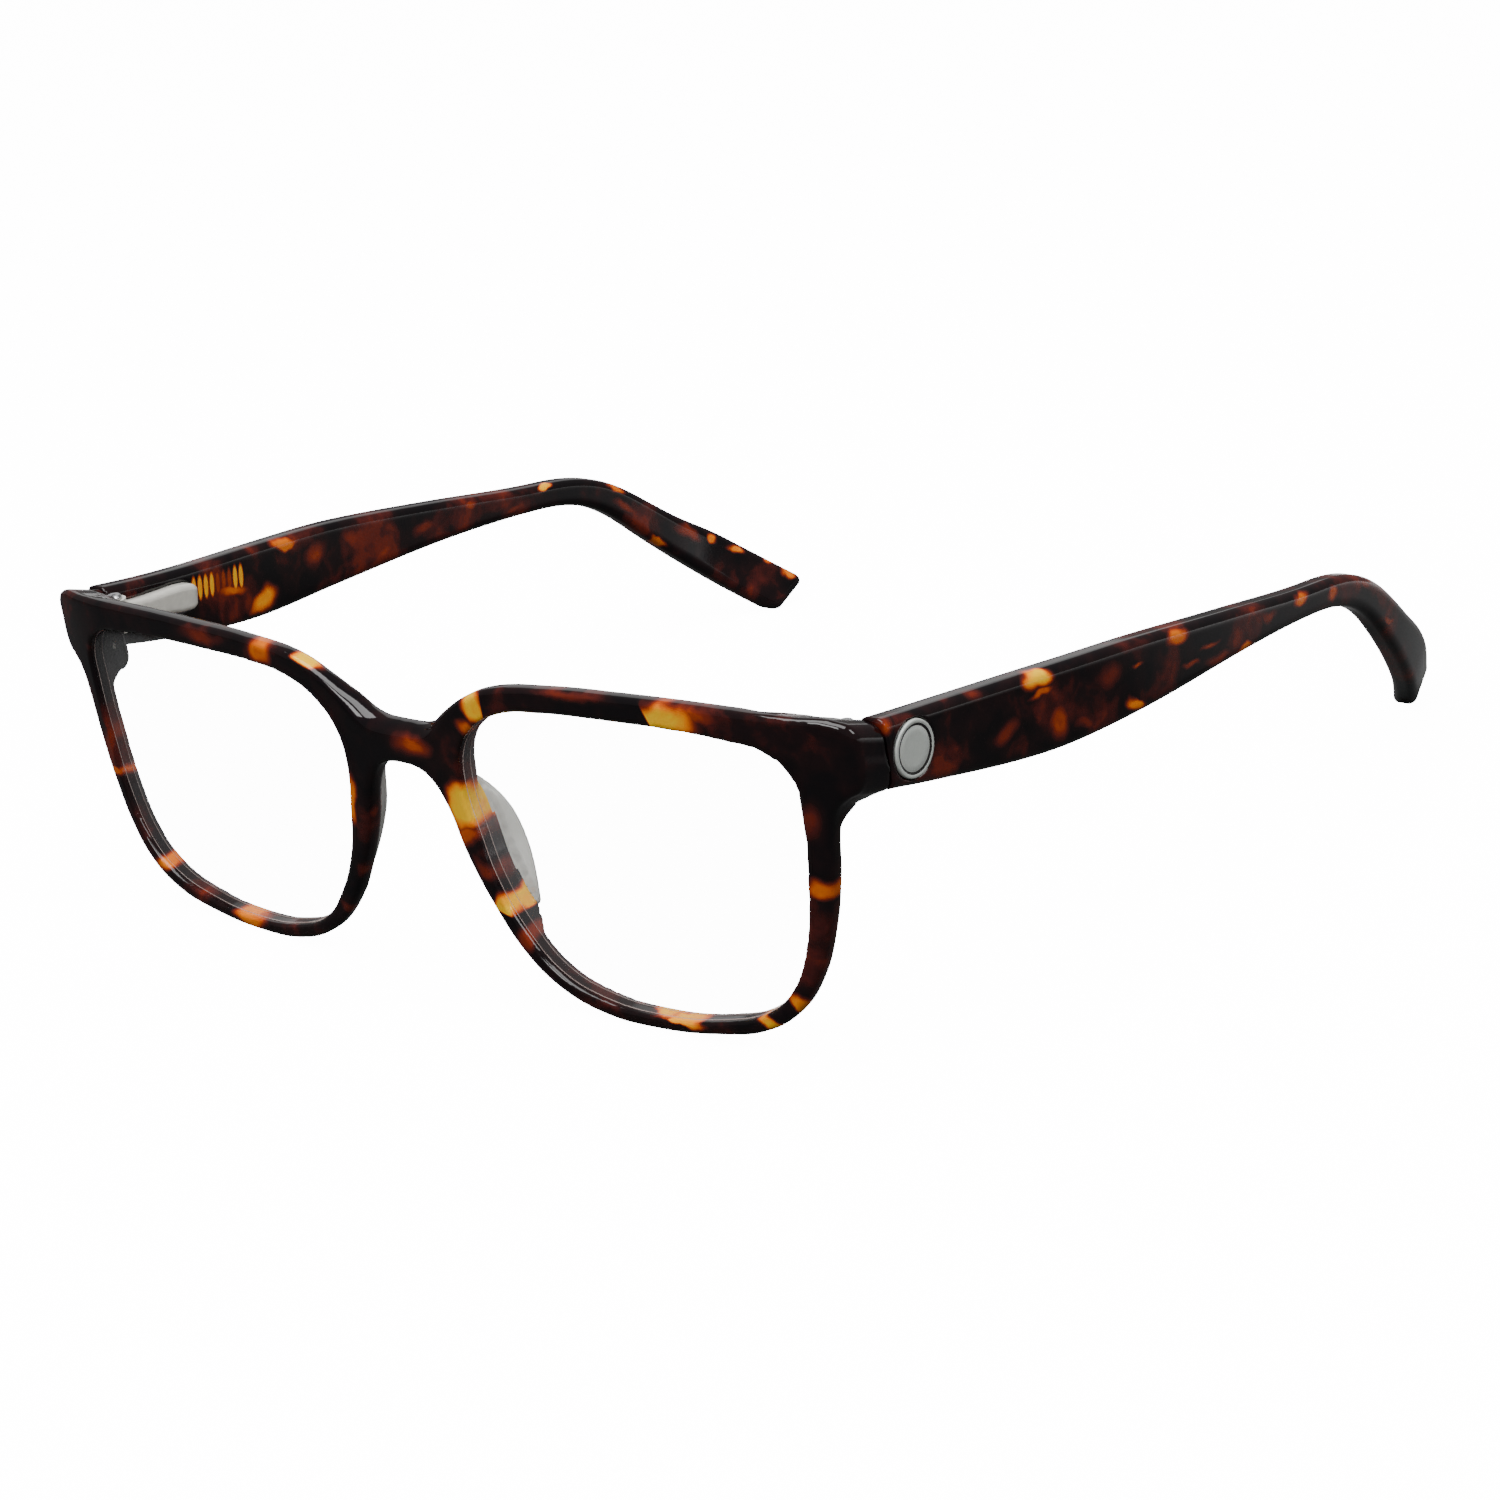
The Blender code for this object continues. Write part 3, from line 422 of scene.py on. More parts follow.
class Nodes:
    """A short way to write a material's node tree."""

    def __init__(self, name):
        self.material = bpy.data.materials.new(name)
        self.material.use_nodes = True
        self.tree = self.material.node_tree
        self.shader = self.tree.nodes["Principled BSDF"]

    def add(self, kind, inputs=(), **settings):
        node = self.tree.nodes.new(kind)
        for key, value in settings.items():
            setattr(node, key, value)
        for socket, value in dict(inputs).items():
            if isinstance(value, bpy.types.NodeSocket):
                self.tree.links.new(value, node.inputs[socket])
            else:
                node.inputs[socket].default_value = value
        return node

    def design_point(self):
        """Where a point is in the design axes, in metres."""
        place = self.add("ShaderNodeTexCoord").outputs["Object"]
        turn = PLACE.to_euler()
        fields = {"Vector": place, "Location": tuple(PLACE.translation), "Rotation": tuple(turn)}
        return self.add("ShaderNodeMapping", fields, vector_type="TEXTURE").outputs[0]

    def math(self, operation, a, b=0.0, c=0.0):
        return self.add("ShaderNodeMath", {0: a, 1: b, 2: c}, operation=operation).outputs[0]

    def ramp(self, factor, stops):
        node = self.add("ShaderNodeValToRGB", {"Fac": factor})
        elements = node.color_ramp.elements
        while len(elements) < len(stops):
            elements.new(0.5)
        for element, (place, colour) in zip(elements, stops):
            element.position = place
            element.color = (*colour, 1.0)
        return node.outputs["Color"]

    def noise(self, vector, scale, detail=3.0, roughness=0.5, offset=0.0):
        if offset:
            vector = self.add("ShaderNodeVectorMath", {0: vector, 1: (offset,) * 3}).outputs[0]
        fields = {"Vector": vector, "Scale": scale, "Detail": detail, "Roughness": roughness}
        return self.add("ShaderNodeTexNoise", fields)

    def bump(self, height, strength, distance):
        fields = {"Height": height, "Strength": strength, "Distance": distance}
        normal = self.add("ShaderNodeBump", fields).outputs["Normal"]
        self.tree.links.new(normal, self.shader.inputs["Normal"])

    def set(self, **values):
        for key, value in values.items():
            socket = self.shader.inputs[key.replace("_", " ")]
            if isinstance(value, bpy.types.NodeSocket):
                self.tree.links.new(value, socket)
            else:
                socket.default_value = value
        return self.material


BEND_REACH = 0.0036  # metres by which the noise bends the spots
MOTTLE_HEAT = 0.37  # the ground's mottling stays below this heat
SPOT_EDGE, SPOT_FADE = 1.3, 1.15  # a spot ends and peaks at these shares of its radii
CUT_FADE = 0.0003  # metres over which a cut spot ends
HEAT_COLOURS = [
    (0.0, (0.004, 0.0024, 0.0032)), (0.15, (0.012, 0.004, 0.0045)), (0.3, (0.07, 0.01, 0.008)),
    (0.45, (0.2, 0.022, 0.006)), (0.6, (0.52, 0.08, 0.003)), (0.78, (0.92, 0.24, 0.001)),
    (0.9, (0.98, 0.4, 0.002)), (1.0, (1.0, 0.56, 0.006)),
]


def tortoiseshell(name, spots, seed, mottle):
    """Acetate: a dark ground with soft mottling, and spots that glow from red to yellow.

    A spot is (centre, radii, turn about x or y in degrees, heat, softness, cut): centre and radii
    in design millimetres, cut a plane (point, normal) that ends the spot sharply, or None. A spot
    with one value more keeps its plain shape, where the others are bent by a noise.
    """
    n = Nodes(name)
    place = n.design_point()
    wobble = n.noise(place, 190.0, 2.5, 0.5, seed).outputs["Color"]
    fields = {0: wobble, 1: (0.5, 0.5, 0.5)}
    centred = n.add("ShaderNodeVectorMath", fields, operation="SUBTRACT").outputs[0]
    fields = {0: centred, "Scale": BEND_REACH}
    shift = n.add("ShaderNodeVectorMath", fields, operation="SCALE").outputs[0]
    bent = n.add("ShaderNodeVectorMath", {0: place, 1: shift}).outputs[0]
    cloud = n.noise(bent, 95.0, 3.0, 0.55, seed + 1.3).outputs["Fac"]
    fine = n.noise(bent, 330.0, 4.0, 0.6, seed + 2.9).outputs["Fac"]
    ground = n.math("MULTIPLY", n.math("SUBTRACT", cloud, 0.43), mottle)
    speckle = n.math("MULTIPLY", n.math("SUBTRACT", fine, 0.5), 0.35)
    heat = n.math("MAXIMUM", n.math("ADD", ground, speckle), 0.0)
    heat = n.math("MINIMUM", heat, MOTTLE_HEAT)
    for centre, radii, turn, peak, soft, cut, *crisp in spots:
        fields = {
            "Vector": place if crisp else bent, "Location": tuple(c * MM for c in centre),
            "Rotation": tuple(math.radians(t) for t in turn), "Scale": tuple(r * MM for r in radii),
        }
        local = n.add("ShaderNodeMapping", fields, vector_type="TEXTURE").outputs[0]
        far = n.add("ShaderNodeVectorMath", {0: local}, operation="LENGTH").outputs["Value"]
        fields = {
            "Value": far, "From Min": SPOT_EDGE, "From Max": SPOT_EDGE - SPOT_FADE * soft,
            "To Min": 0.0, "To Max": peak,
        }
        mask = n.add("ShaderNodeMapRange", fields, interpolation_type="SMOOTHSTEP").outputs[0]
        if cut:
            point, normal = (Vector(v) for v in cut)
            fields = {0: place, 1: tuple(point * MM)}
            offset = n.add("ShaderNodeVectorMath", fields, operation="SUBTRACT").outputs[0]
            fields = {0: offset, 1: tuple(normal.normalized())}
            along = n.add("ShaderNodeVectorMath", fields, operation="DOT_PRODUCT").outputs["Value"]
            fields = {"Value": along, "From Min": 0.0, "From Max": CUT_FADE}
            mask = n.math("MULTIPLY", mask, n.add("ShaderNodeMapRange", fields).outputs[0])
        heat = n.math("MAXIMUM", heat, mask)
    grain = n.math("MULTIPLY", n.math("SUBTRACT", fine, 0.5), 0.4)
    colour = n.ramp(n.math("MULTIPLY", heat, n.math("ADD", grain, 1.0)), HEAT_COLOURS)
    haze = n.noise(place, 900.0, 2.0).outputs["Fac"]
    rough = n.add("ShaderNodeMapRange", {"Value": haze, "To Min": 0.05, "To Max": 0.11}).outputs[0]
    n.bump(n.noise(place, 60.0, 1.0).outputs["Fac"], 0.05, 0.0004)
    return n.set(Base_Color=colour, Roughness=rough, IOR=1.5, Specular_IOR_Level=0.5)


def metal(name, colour, low, high, scale, stretch=(1, 1, 1), metallic=1.0):
    """Metal with fine polishing marks."""
    n = Nodes(name)
    place = n.add("ShaderNodeTexCoord").outputs["Object"]
    drawn = n.add("ShaderNodeMapping", {"Vector": place, "Scale": stretch}).outputs[0]
    marks = n.noise(drawn, scale, 4.0, 0.6).outputs["Fac"]
    rough = n.add("ShaderNodeMapRange", {"Value": marks, "To Min": low, "To Max": high}).outputs[0]
    tint = n.ramp(marks, [(0.3, tuple(c * 0.88 for c in colour)), (0.7, colour)])
    n.bump(marks, 0.08, 0.0001)
    return n.set(Base_Color=tint, Metallic=metallic, Roughness=rough)


FLAT = 900.0  # a radius so long that the spot runs right through
SPOT_DEPTH = 2.6  # how deep a spot goes into a temple
FACE = 2.0  # the temples' outer face, as w, for their spots; the inner face is at -FACE

FRONT_SPOTS = [
    # wearer's left half
    ((14.6, 0, 13.7), (2.1, FLAT, 2.4), (0, 0, 0), 1.0, 0.7, ((16.2, 0, 0), (-1, 0, 0))),
    ((12.4, 0, 10.6), (1.9, FLAT, 1.5), (0, -40, 0), 0.66, 0.9, None),
    ((43.6, 0, 15.6), (5.6, FLAT, 2.6), (0, 0, 0), 0.98, 0.9, ((41.3, 0, 15.5), (1, 0, 0.5))),
    ((48.0, 0, 16.4), (5.5, FLAT, 1.2), (0, 0, 0), 0.5, 1.0, None),
    ((30.0, 0, 16.9), (8.0, FLAT, 0.9), (0, 0, 0), 0.36, 1.0, None),
    ((62.4, 0, -4.0), (2.4, FLAT, 1.5), (0, 10, 0), 0.66, 0.9, None),
    ((62.3, 0, 4.5), (2.0, FLAT, 3.2), (0, 0, 0), 0.36, 1.0, None),
    ((57.6, 0, -19.2), (2.4, FLAT, 1.4), (0, 45, 0), 0.78, 0.8, None),
    ((52.5, 0, -22.6), (3.4, FLAT, 1.3), (0, 18, 0), 0.95, 0.8, None),
    ((36.5, 0, -24.4), (6.0, FLAT, 0.7), (0, 0, 0), 0.9, 0.6, None),
    ((9.4, 0, -0.6), (2.6, FLAT, 3.4), (0, -10, 0), 1.0, 0.75, None),
    ((9.2, 0, -4.4), (2.0, FLAT, 2.0), (0, -15, 0), 0.6, 0.9, None),
    ((13.8, 0, -13.2), (1.5, FLAT, 2.1), (0, -25, 0), 0.95, 0.7, ((14.0, 0, -14.6), (0.3, 0, 1))),
    ((15.9, 0, -17.4), (2.4, FLAT, 1.6), (0, -40, 0), 0.45, 1.0, None),
    ((2.8, 0, 6.8), (4.2, FLAT, 2.2), (0, 0, 0), 0.56, 1.0, None),
    ((11.2, 0, -8.5), (1.5, FLAT, 2.4), (0, -20, 0), 0.42, 1.0, None),
    # wearer's right half
    ((-22.6, 0, 15.6), (2.6, FLAT, 2.3), (0, 0, 0), 0.68, 0.8, None),
    ((-20.0, 0, 17.2), (3.2, FLAT, 1.2), (0, 0, 0), 0.62, 0.9, None),
    ((-13.4, 0, 15.4), (4.6, FLAT, 1.5), (0, -18, 0), 0.97, 0.7, ((-13.0, 0, 14.1), (0.35, 0, 1))),
    ((-34.0, 0, 16.4), (5.5, FLAT, 1.4), (0, 0, 0), 0.4, 1.0, None),
    ((-61.2, 0, -4.5), (1.7, FLAT, 8.0), (0, 5, 0), 0.4, 1.0, None),
    ((-60.9, 0, -7.9), (2.2, FLAT, 1.2), (0, 0, 0), 0.66, 0.8, None),
    ((-36.6, 0, -25.0), (3.8, FLAT, 1.2), (0, 0, 0), 0.76, 0.8, None),
    ((-53.2, 0, -19.6), (3.0, FLAT, 1.5), (0, -35, 0), 0.68, 0.8, None),
    ((-10.3, 0, -3.0), (1.2, FLAT, 4.2), (0, 8, 0), 0.72, 0.8, None),
    ((-5.8, 0, -5.0), (2.0, FLAT, 2.4), (0, 0, 0), 0.64, 0.9, None),
    ((-9.6, 0, -13.6), (2.6, FLAT, 2.1), (0, 25, 0), 0.62, 0.9, None),
    ((-5.8, 0, 12.2), (2.0, FLAT, 1.2), (0, 30, 0), 0.48, 0.9, None),
    ((-15.0, 0, -19.5), (2.8, FLAT, 1.4), (0, 38, 0), 0.42, 1.0, None),
]


def temple_spots(entries, w):
    """Spots given as (s, h, half length, half height, turn, heat, softness) on the face at w."""
    spots = []
    for s, h, length, height, turn, heat, soft, *crisp in entries:
        centre = tuple(float(v) for v in temple_point(np.array(s), h, w))
        slope = math.degrees(float(np.interp(s, AXIS[0], AXIS[3])))
        radii = (SPOT_DEPTH, length, height)
        spots.append((centre, radii, (slope + turn, 0, 0), heat, soft, None, *crisp))
    return spots


LEFT_OUTER = [
    (3.0, 3.6, 2.2, 1.2, 0, 0.55, 1.0), (18.5, 4.0, 2.2, 1.4, 0, 0.36, 1.0),
    (29.8, 3.9, 2.8, 1.7, -12, 1.0, 0.8), (30.2, 1.9, 2.4, 0.5, 6, 0.62, 0.9),
    (33.4, -2.0, 2.4, 2.6, 0, 0.5, 0.8), (42.5, 2.0, 3.4, 2.4, 0, 0.36, 1.0),
    (56.8, 3.5, 2.8, 1.3, 0, 0.68, 0.8), (48.0, -3.2, 2.6, 1.0, -15, 0.74, 0.8),
    (72.5, -2.0, 2.2, 0.9, 0, 0.7, 0.8), (86.5, 1.4, 2.2, 0.8, 0, 0.68, 0.8),
    (95.0, 0.0, 2.0, 1.1, 0, 0.6, 0.9), (48.0, 1.7, 1.6, 0.5, 8, 0.56, 1.0),
    (64.0, 0.8, 3.2, 0.5, 6, 0.52, 1.0), (59.5, -0.7, 2.8, 0.6, -6, 0.46, 1.0),
    (24.0, -1.5, 3.0, 1.8, 20, 0.4, 1.0), (66.0, -1.6, 4.0, 1.2, 0, 0.42, 1.0),
    (38.0, -3.2, 2.6, 1.2, 0, 0.4, 1.0), (104.0, 0.6, 3.0, 0.9, 0, 0.45, 1.0),
    (114.0, -1.2, 2.6, 0.8, 0, 0.5, 0.9), (78.0, 1.2, 3.0, 0.9, 0, 0.42, 1.0),
]
RIGHT_INNER = [
    (33.0, -2.9, 3.4, 2.1, 10, 0.84, 0.9), (27.0, -0.8, 3.4, 1.1, 0, 0.66, 0.9),
    (38.0, 4.0, 3.4, 0.95, 0, 0.68, 0.8), (44.0, 1.0, 3.6, 2.4, 20, 0.46, 1.0),
    (52.0, 2.0, 3.0, 1.8, -20, 0.44, 1.0), (58.0, -1.5, 3.6, 1.4, 10, 0.46, 1.0),
    (76.5, 2.0, 2.2, 1.0, 0, 0.5, 0.9), (92.5, 1.25, 1.9, 0.55, 0, 0.95, 0.7),
    (107.0, 1.3, 2.2, 0.8, 0, 0.68, 0.8), (118.5, -2.7, 2.2, 0.7, 0, 0.66, 0.8),
    (128.0, 2.0, 1.3, 0.8, 0, 0.72, 0.8), (132.5, 1.75, 2.0, 0.9, 0, 0.78, 0.8),
    (139.0, 2.7, 1.5, 0.9, 0, 0.7, 0.8), (142.5, 2.0, 1.3, 1.0, 0, 0.72, 0.8),
    (67.0, 0.5, 4.0, 1.4, 0, 0.4, 1.0), (110.0, -0.8, 4.0, 1.0, 0, 0.42, 1.0),
    (123.0, 0.6, 3.6, 1.3, 0, 0.44, 1.0), (85.0, -0.6, 3.4, 0.9, 0, 0.4, 1.0),
]
# The ribbed shank of the core wire glows through the thin inner wall.
RIB_START, RIB_PITCH, RIBS_SHOWN, DIM_RIBS = 18.9, 1.2, 9, (4, 5, 6)
RIBS = [
    (RIB_START + RIB_PITCH * i, 1.3, 0.5, 1.9, 0, 0.5 if i in DIM_RIBS else 0.95, 0.6, True)
    for i in range(RIBS_SHOWN)
]


def shifted(entries, along, hottest):
    """The spots again for the other temple's other face: moved along, turned over and dimmed."""
    return [
        (s + along, -h, length, height, -turn, min(heat, hottest), soft)
        for s, h, length, height, turn, heat, soft in entries
    ]


def mirror_spots(spots):
    return [((-c[0], c[1], c[2]), *rest) for c, *rest in spots]


ACETATE = tortoiseshell("tortoiseshell_front", FRONT_SPOTS, 3.1, 1.15)
LEFT_SPOTS = temple_spots(LEFT_OUTER, FACE)
LEFT_SPOTS += temple_spots(RIBS + shifted(RIGHT_INNER, 6.0, 0.8), -FACE)
RIGHT_SPOTS = temple_spots(shifted(LEFT_OUTER, 7.0, 0.85), FACE)
RIGHT_SPOTS = mirror_spots(RIGHT_SPOTS + temple_spots(RIBS + RIGHT_INNER, -FACE))
TEMPLE_ACETATE = {
    "left": tortoiseshell("tortoiseshell_temple_left", LEFT_SPOTS, 7.7, 1.7),
    "right": tortoiseshell("tortoiseshell_temple_right", RIGHT_SPOTS, 5.2, 1.7),
}
NICKEL = metal("polished_nickel", (0.9, 0.88, 0.8), 0.1, 0.2, 900.0, metallic=0.35)
STEEL = metal("bright_steel", (0.6, 0.6, 0.61), 0.2, 0.38, 1500.0)
SILVER = metal("satin_silver", (0.62, 0.66, 0.62), 0.36, 0.5, 2200.0, (1, 1, 12), 0.2)
WIRE = metal("nickel_silver_wire", (0.72, 0.62, 0.38), 0.25, 0.4, 1200.0)


def clear_lens():
    n = Nodes("clear_demo_lens")
    place = n.add("ShaderNodeTexCoord").outputs["Object"]
    smear = n.noise(place, 40.0, 2.0).outputs["Fac"]
    rough = n.add("ShaderNodeMapRange", {"Value": smear, "To Min": 0.01, "To Max": 0.04}).outputs[0]
    material = n.set(Base_Color=(0.96, 0.98, 0.98, 1), Roughness=rough, IOR=1.45, Alpha=0.05)
    material.surface_render_method = "BLENDED"
    return material


def pale_rim_with_glint():
    """The lens's ground bevel, painted as a thin pale line inside the rim: partly its frosted edge,
    partly a painted glint of light along it.
    """
    n = Nodes("lens_bevel_painted_glint")
    place = n.add("ShaderNodeTexCoord").outputs["Object"]
    mottle = n.noise(place, 300.0, 2.0).outputs["Fac"]
    colour = n.ramp(mottle, [(0.3, (0.62, 0.46, 0.42)), (0.7, (0.8, 0.7, 0.66))])
    return n.set(Base_Color=colour, Roughness=0.3, Alpha=0.75)


def nylon():
    n = Nodes("white_nylon")
    place = n.add("ShaderNodeTexCoord").outputs["Object"]
    mottle = n.noise(place, 1500.0).outputs["Fac"]
    colour = n.ramp(mottle, [(0.3, (0.74, 0.74, 0.7)), (0.7, (0.86, 0.86, 0.83))])
    n.bump(mottle, 0.1, 0.0001)
    return n.set(Base_Color=colour, Roughness=0.45)


def enamel():
    n = Nodes("dark_enamel")
    place = n.add("ShaderNodeTexCoord").outputs["Object"]
    mottle = n.noise(place, 900.0).outputs["Fac"]
    colour = n.ramp(mottle, [(0.3, (0.012, 0.011, 0.011)), (0.7, (0.02, 0.018, 0.018))])
    return n.set(Base_Color=colour, Roughness=0.25)


def clear_pad():
    """The pads' rear half is clear acetate, pale against the light behind it."""
    n = Nodes("clear_pad")
    place = n.add("ShaderNodeTexCoord").outputs["Object"]
    mottle = n.noise(place, 120.0, 2.0).outputs["Fac"]
    colour = n.ramp(mottle, [(0.3, (0.5, 0.5, 0.46)), (0.7, (0.66, 0.66, 0.62))])
    return n.set(Base_Color=colour, Roughness=0.12, IOR=1.48)


LENS = clear_lens()
PAD = clear_pad()
PALE_RIM_GLINT = pale_rim_with_glint()
ENAMEL = enamel()
NYLON = nylon()


def give(node, material):
    obj = frame["nodes"][node]
    obj.data.materials.clear()
    obj.data.materials.append(material)


# Pieces

LENS_LOOP = OPEN_LOOP[::2]
LENS_RINGS = 9
LENS_POINTS = 1 + LENS_RINGS * len(LENS_LOOP)  # on one face of a lens
RIM_POINTS = LENS_POINTS - len(LENS_LOOP)  # the outermost ring's points are numbered from here
PALE_DEPTH, PALE_TAPER, PALE_HALF = 1.5, 0.04, 22.0  # where the pads' clear part begins


def add_front():
    """Rims, bridge, end pieces and pads in one piece, with the rear of the pads clear."""
    cell = 0.42
    axes = grid((-69.6, -1.0, -27.6), (69.6, 13.0, 18.9), (cell, cell, cell))
    points, quads = surface(front_field, axes)
    front = add_piece("acetate_front", points, quads, ACETATE, "frame")
    front.data.materials.append(PAD)
    x, y, z = points[quads].mean(1).T
    behind = y - sagitta(x) - RIM_DEPTH
    pale = (behind > PALE_DEPTH - PALE_TAPER * (z - PAD_BOTTOM)) & (z < PAD_TOP)
    pale &= np.abs(x) < PALE_HALF
    front.data.polygons.foreach_set("material_index", pale.astype(int))
    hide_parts("front_frame", "nose_pad_left", "nose_pad_right")


def temple_mesh():
    """A temple's points and faces, finest where the hinge parts are let in."""
    fine, coarse = ((0.22, 0.6))
    across = grid((-6.4, -2.5), (6.4, 2.5), ((0.34, 0.22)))
    along = np.concatenate([np.arange(1.0, 22.0, fine), np.arange(22.0, 147.5, coarse)])
    points, quads = surface(temple_field, [along] + across)
    return np.stack(temple_point(*points.T), 1), quads


def lens_mesh():
    """A thin lens, curved with the front, its edge inside the rim."""
    middle = LENS_LOOP.mean(0)
    outward = LENS_LOOP - middle
    unit = outward / np.linalg.norm(outward, axis=1, keepdims=True)
    shares = np.linspace(0.0, 1.0, LENS_RINGS)[1:-1]
    rings = [middle + outward * share for share in shares]
    rings += [LENS_LOOP - LENS_BEVEL * unit, LENS_LOOP + LENS_RIM * unit]
    points, faces = [], []
    count = len(LENS_LOOP)
    for depth in (0.0, LENS_DEPTH):
        start = len(points)
        points.append((middle[0], sagitta(middle[0]) + LENS_START + depth, middle[1]))
        for ring in rings:
            for x, z in ring:
                points.append((x, sagitta(x) + LENS_START + depth, z))
        for i in range(count):
            j = (i + 1) % count
            turn = (start, start + 1 + i, start + 1 + j)
            faces.append(turn if depth else turn[::-1])
            for r in range(len(rings) - 1):
                a, b = start + 1 + r * count, start + 1 + (r + 1) * count
                quad = (a + i, b + i, b + j, a + j)
                faces.append(quad if depth else quad[::-1])
    last = 1 + (len(rings) - 1) * count
    whole = 1 + len(rings) * count
    for i in range(count):
        j = (i + 1) % count
        faces.append((last + i, last + j, whole + last + j, whole + last + i)[::-1])
    return points, faces


def case_mesh():
    """The spoon-shaped spring case, with a soft crown and a full rounded end."""
    cell = 0.16
    axes = grid((-0.2, 1.4, -2.6), (3.9, 16.4, 2.6), (cell, cell, cell))
    points, quads = surface(case_field, axes)
    return np.stack(from_hinge_axes(*points.T), 1), quads


def disc_mesh():
    """A turned disc with a raised rim and a shallow dish, lying in the temple's outer face."""
    points = [(DISC_S, DISC_H, HALF_DEPTH + DISC_PROFILE[0][1])]
    for radius, height in DISC_PROFILE[1:]:
        for i in range(DISC_TURNS):
            angle = 2 * math.pi * i / DISC_TURNS
            s, h = DISC_S + radius * math.cos(angle), DISC_H + radius * math.sin(angle)
            points.append((s, h, HALF_DEPTH + height))
    faces = [(0, 1 + (i + 1) % DISC_TURNS, 1 + i) for i in range(DISC_TURNS)]
    for ring in range(len(DISC_PROFILE) - 2):
        a, b = 1 + ring * DISC_TURNS, 1 + (ring + 1) * DISC_TURNS
        for i in range(DISC_TURNS):
            j = (i + 1) % DISC_TURNS
            faces.append((a + j, b + j, b + i, a + i))
    faces.append(tuple(1 + (len(DISC_PROFILE) - 2) * DISC_TURNS + i for i in range(DISC_TURNS)))
    return np.stack(temple_point(*np.array(points).T), 1), [face[::-1] for face in faces]


DISC_TURNS = 72
DISC_PROFILE = [  # radius and height above the temple's outer face
    (0.0, 0.1), (0.9, 0.1), (1.9, 0.11), (2.55, 0.13), (2.7, 0.06), (2.85, 0.06), (3.0, 0.17),
    (3.3, 0.19), (3.42, 0.15), (3.48, 0.02), (3.49, -0.3),
]
ENAMEL_RINGS = (3, 4)  # rings of faces in the groove, counted from the middle's fan

add_front()
TEMPLE = temple_mesh()
CASE = case_mesh()
DISC = disc_mesh()
for label, side in SIDES.items():
    body = "temple_" + label
    temple = add_piece("acetate_temple_" + label, *TEMPLE, TEMPLE_ACETATE[label], body, side)
    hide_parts("temple_" + label)
    case = add_piece("spring_case_shell_" + label, *CASE, NICKEL, body, side)
    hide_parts("spring_case_" + label)
    disc = add_piece("turned_disc_" + label, *DISC, SILVER, body, side)
    disc.data.materials.append(ENAMEL)
    for polygon in disc.data.polygons:
        polygon.material_index = int(polygon.index // DISC_TURNS - 1 in ENAMEL_RINGS)
    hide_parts("temple_disc_" + label)
    lens = add_piece("clear_lens_" + label, *lens_mesh(), LENS, "frame", side)
    # The lens's outermost ring of faces takes the pale bevel colour, partly its frosted edge and
    # partly a painted glint.
    lens.data.materials.append(PALE_RIM_GLINT)
    for polygon in lens.data.polygons:
        polygon.material_index = int(max(polygon.vertices) % LENS_POINTS >= RIM_POINTS)
    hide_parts("lens_" + label)
    give("front_hinge_" + label, NICKEL)
    give("slider_eye_" + label, NICKEL)
    for name in ("hinge_screw_", "slider_stop_", "hinge_spring_"):
        give(name + label, STEEL)
    give("hinge_bushing_" + label, NYLON)
    give("core_wire_" + label, WIRE)


# Stage, light and camera

FLOOR_GLOW = 14.0
FLOOR_HALF = 3.0
AMBIENT = 0.16
AZIMUTH, ELEVATION, ROLL = (math.radians(angle) for angle in (42.97, 22.51, 9.14))
DISTANCE, ASIDE, ABOVE = 449.0, 40.91, -2.82
FOCAL_LENGTH, SENSOR_WIDTH = 87.44, 36.0
SHIFT_X, SHIFT_Y = 0.00885, 0.0082


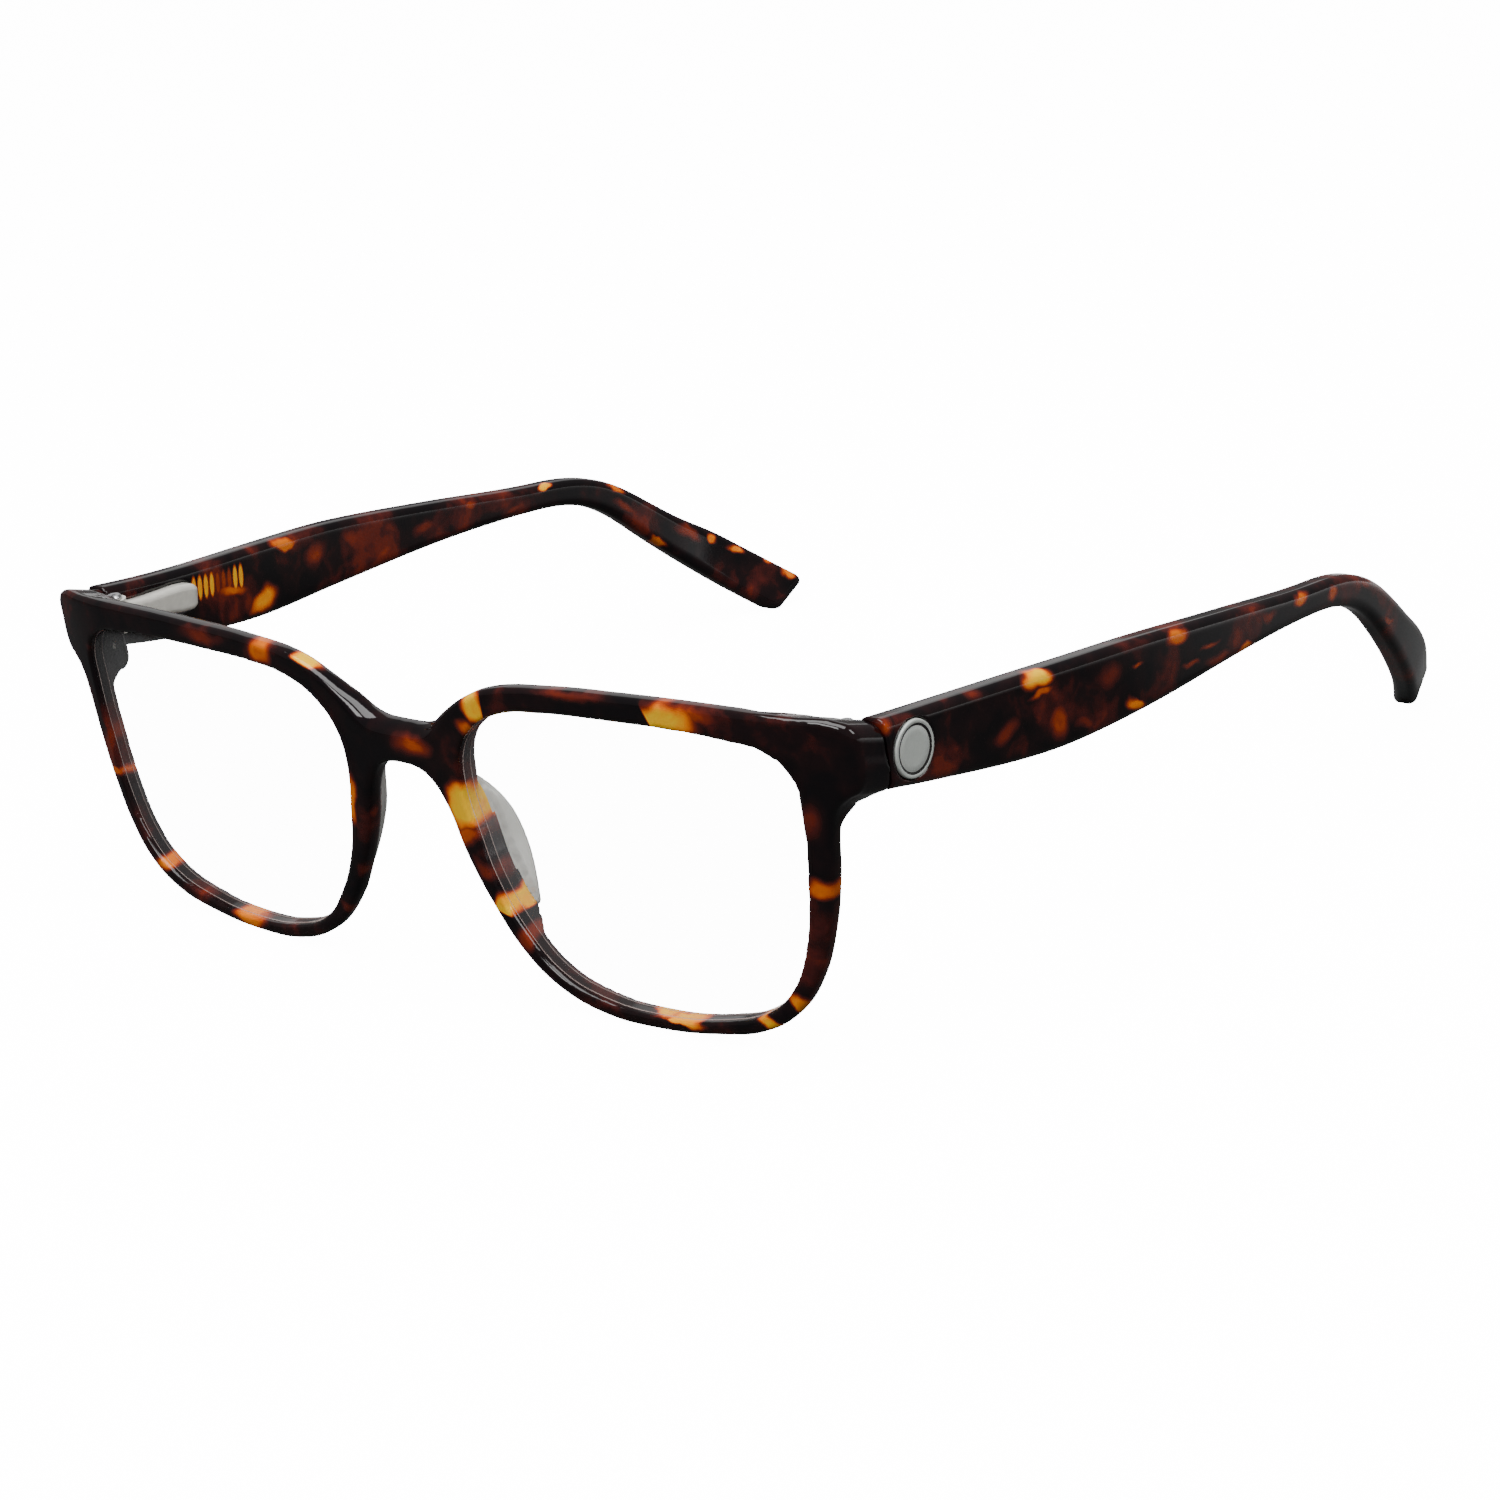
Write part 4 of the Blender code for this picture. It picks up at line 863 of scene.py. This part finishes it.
def studio():
    """A pale floor that stays evenly light, and a dim surrounding light."""
    floor = bpy.data.meshes.new("floor")
    r = FLOOR_HALF
    floor.from_pydata([(-r, -r, 0), (r, -r, 0), (r, r, 0), (-r, r, 0)], [], [(0, 1, 2, 3)])
    obj = bpy.data.objects.new("floor", floor)
    bpy.context.scene.collection.objects.link(obj)
    n = Nodes("pale_floor")
    place = n.add("ShaderNodeTexCoord").outputs["Object"]
    tone = n.noise(place, 3.0, 1.0).outputs["Fac"]
    near = n.add("ShaderNodeSeparateXYZ", {0: place}).outputs["Y"]
    fields = {"Value": near, "From Min": 0.05, "From Max": 0.4, "To Min": 0.05, "To Max": 0.85}
    flag = n.add("ShaderNodeMapRange", fields)
    seen = n.add("ShaderNodeLightPath").outputs["Is Camera Ray"]
    pale = n.math("MULTIPLY_ADD", tone, 0.02, 0.93)
    shade = n.add("ShaderNodeMix", {"Factor": seen, "A": flag.outputs[0], "B": pale}).outputs[0]
    n.tree.links.new(shade, n.shader.inputs["Base Color"])
    n.tree.links.new(n.math("MULTIPLY", seen, FLOOR_GLOW), n.shader.inputs["Emission Strength"])
    floor.materials.append(n.set(Roughness=0.9, Specular_IOR_Level=0.0, Emission_Color=(1, 1, 1, 1)))
    world = bpy.data.worlds.new("studio")
    bpy.context.scene.world = world
    world.use_nodes = True
    tree = world.node_tree
    path = tree.nodes.new("ShaderNodeLightPath")
    level = tree.nodes.new("ShaderNodeMapRange")
    level.inputs["To Min"].default_value = AMBIENT
    level.inputs["To Max"].default_value = FLOOR_GLOW + 1.0
    tree.links.new(path.outputs["Is Camera Ray"], level.inputs["Value"])
    background = tree.nodes["Background"]
    background.inputs["Color"].default_value = (1, 1, 1, 1)
    tree.links.new(level.outputs[0], background.inputs["Strength"])


def softbox(name, place, target, size, power):
    light = bpy.data.lights.new(name, "AREA")
    light.shape = "RECTANGLE"
    light.size, light.size_y = size
    light.energy = power
    obj = bpy.data.objects.new(name, light)
    bpy.context.scene.collection.objects.link(obj)
    obj.location = place
    obj.rotation_euler = (Vector(target) - Vector(place)).to_track_quat("-Z", "Y").to_euler()


def camera():
    """The camera, given by its direction, roll and place in the design axes."""
    level = Vector((math.sin(AZIMUTH), -math.cos(AZIMUTH), 0)) * math.cos(ELEVATION)
    back = level + Vector((0, 0, math.sin(ELEVATION)))
    right = Vector((math.cos(AZIMUTH), math.sin(AZIMUTH), 0))
    up = back.cross(right)
    place = (right * ASIDE + up * ABOVE + back * DISTANCE) * MM
    across = right * math.cos(ROLL) - up * math.sin(ROLL)
    upright = right * math.sin(ROLL) + up * math.cos(ROLL)
    turn = Matrix((across, upright, back)).transposed().to_4x4()
    data = bpy.data.cameras.new("camera")
    data.lens, data.sensor_width = FOCAL_LENGTH, SENSOR_WIDTH
    data.shift_x, data.shift_y = SHIFT_X, SHIFT_Y
    data.clip_start, data.clip_end = 0.01, 20.0
    obj = bpy.data.objects.new("camera", data)
    bpy.context.scene.collection.objects.link(obj)
    obj.matrix_world = PLACE @ Matrix.Translation(place) @ turn
    bpy.context.scene.camera = obj


studio()
softbox("overhead", (0.1, -0.2, 1.0), (0, 0, 0), (1.0, 0.8), 16.0)
softbox("behind", (-0.75, 0.8, 0.5), (0, 0, 0.02), (0.9, 0.6), 1.1)
softbox("from_front", (0.2, -1.0, 0.75), (0, 0, 0.02), (0.6, 0.4), 7.0)
softbox("from_left", (1.1, 0.3, 0.8), (0, 0, 0.02), (0.5, 0.5), 5.0)
camera()
bpy.context.view_layer.update()
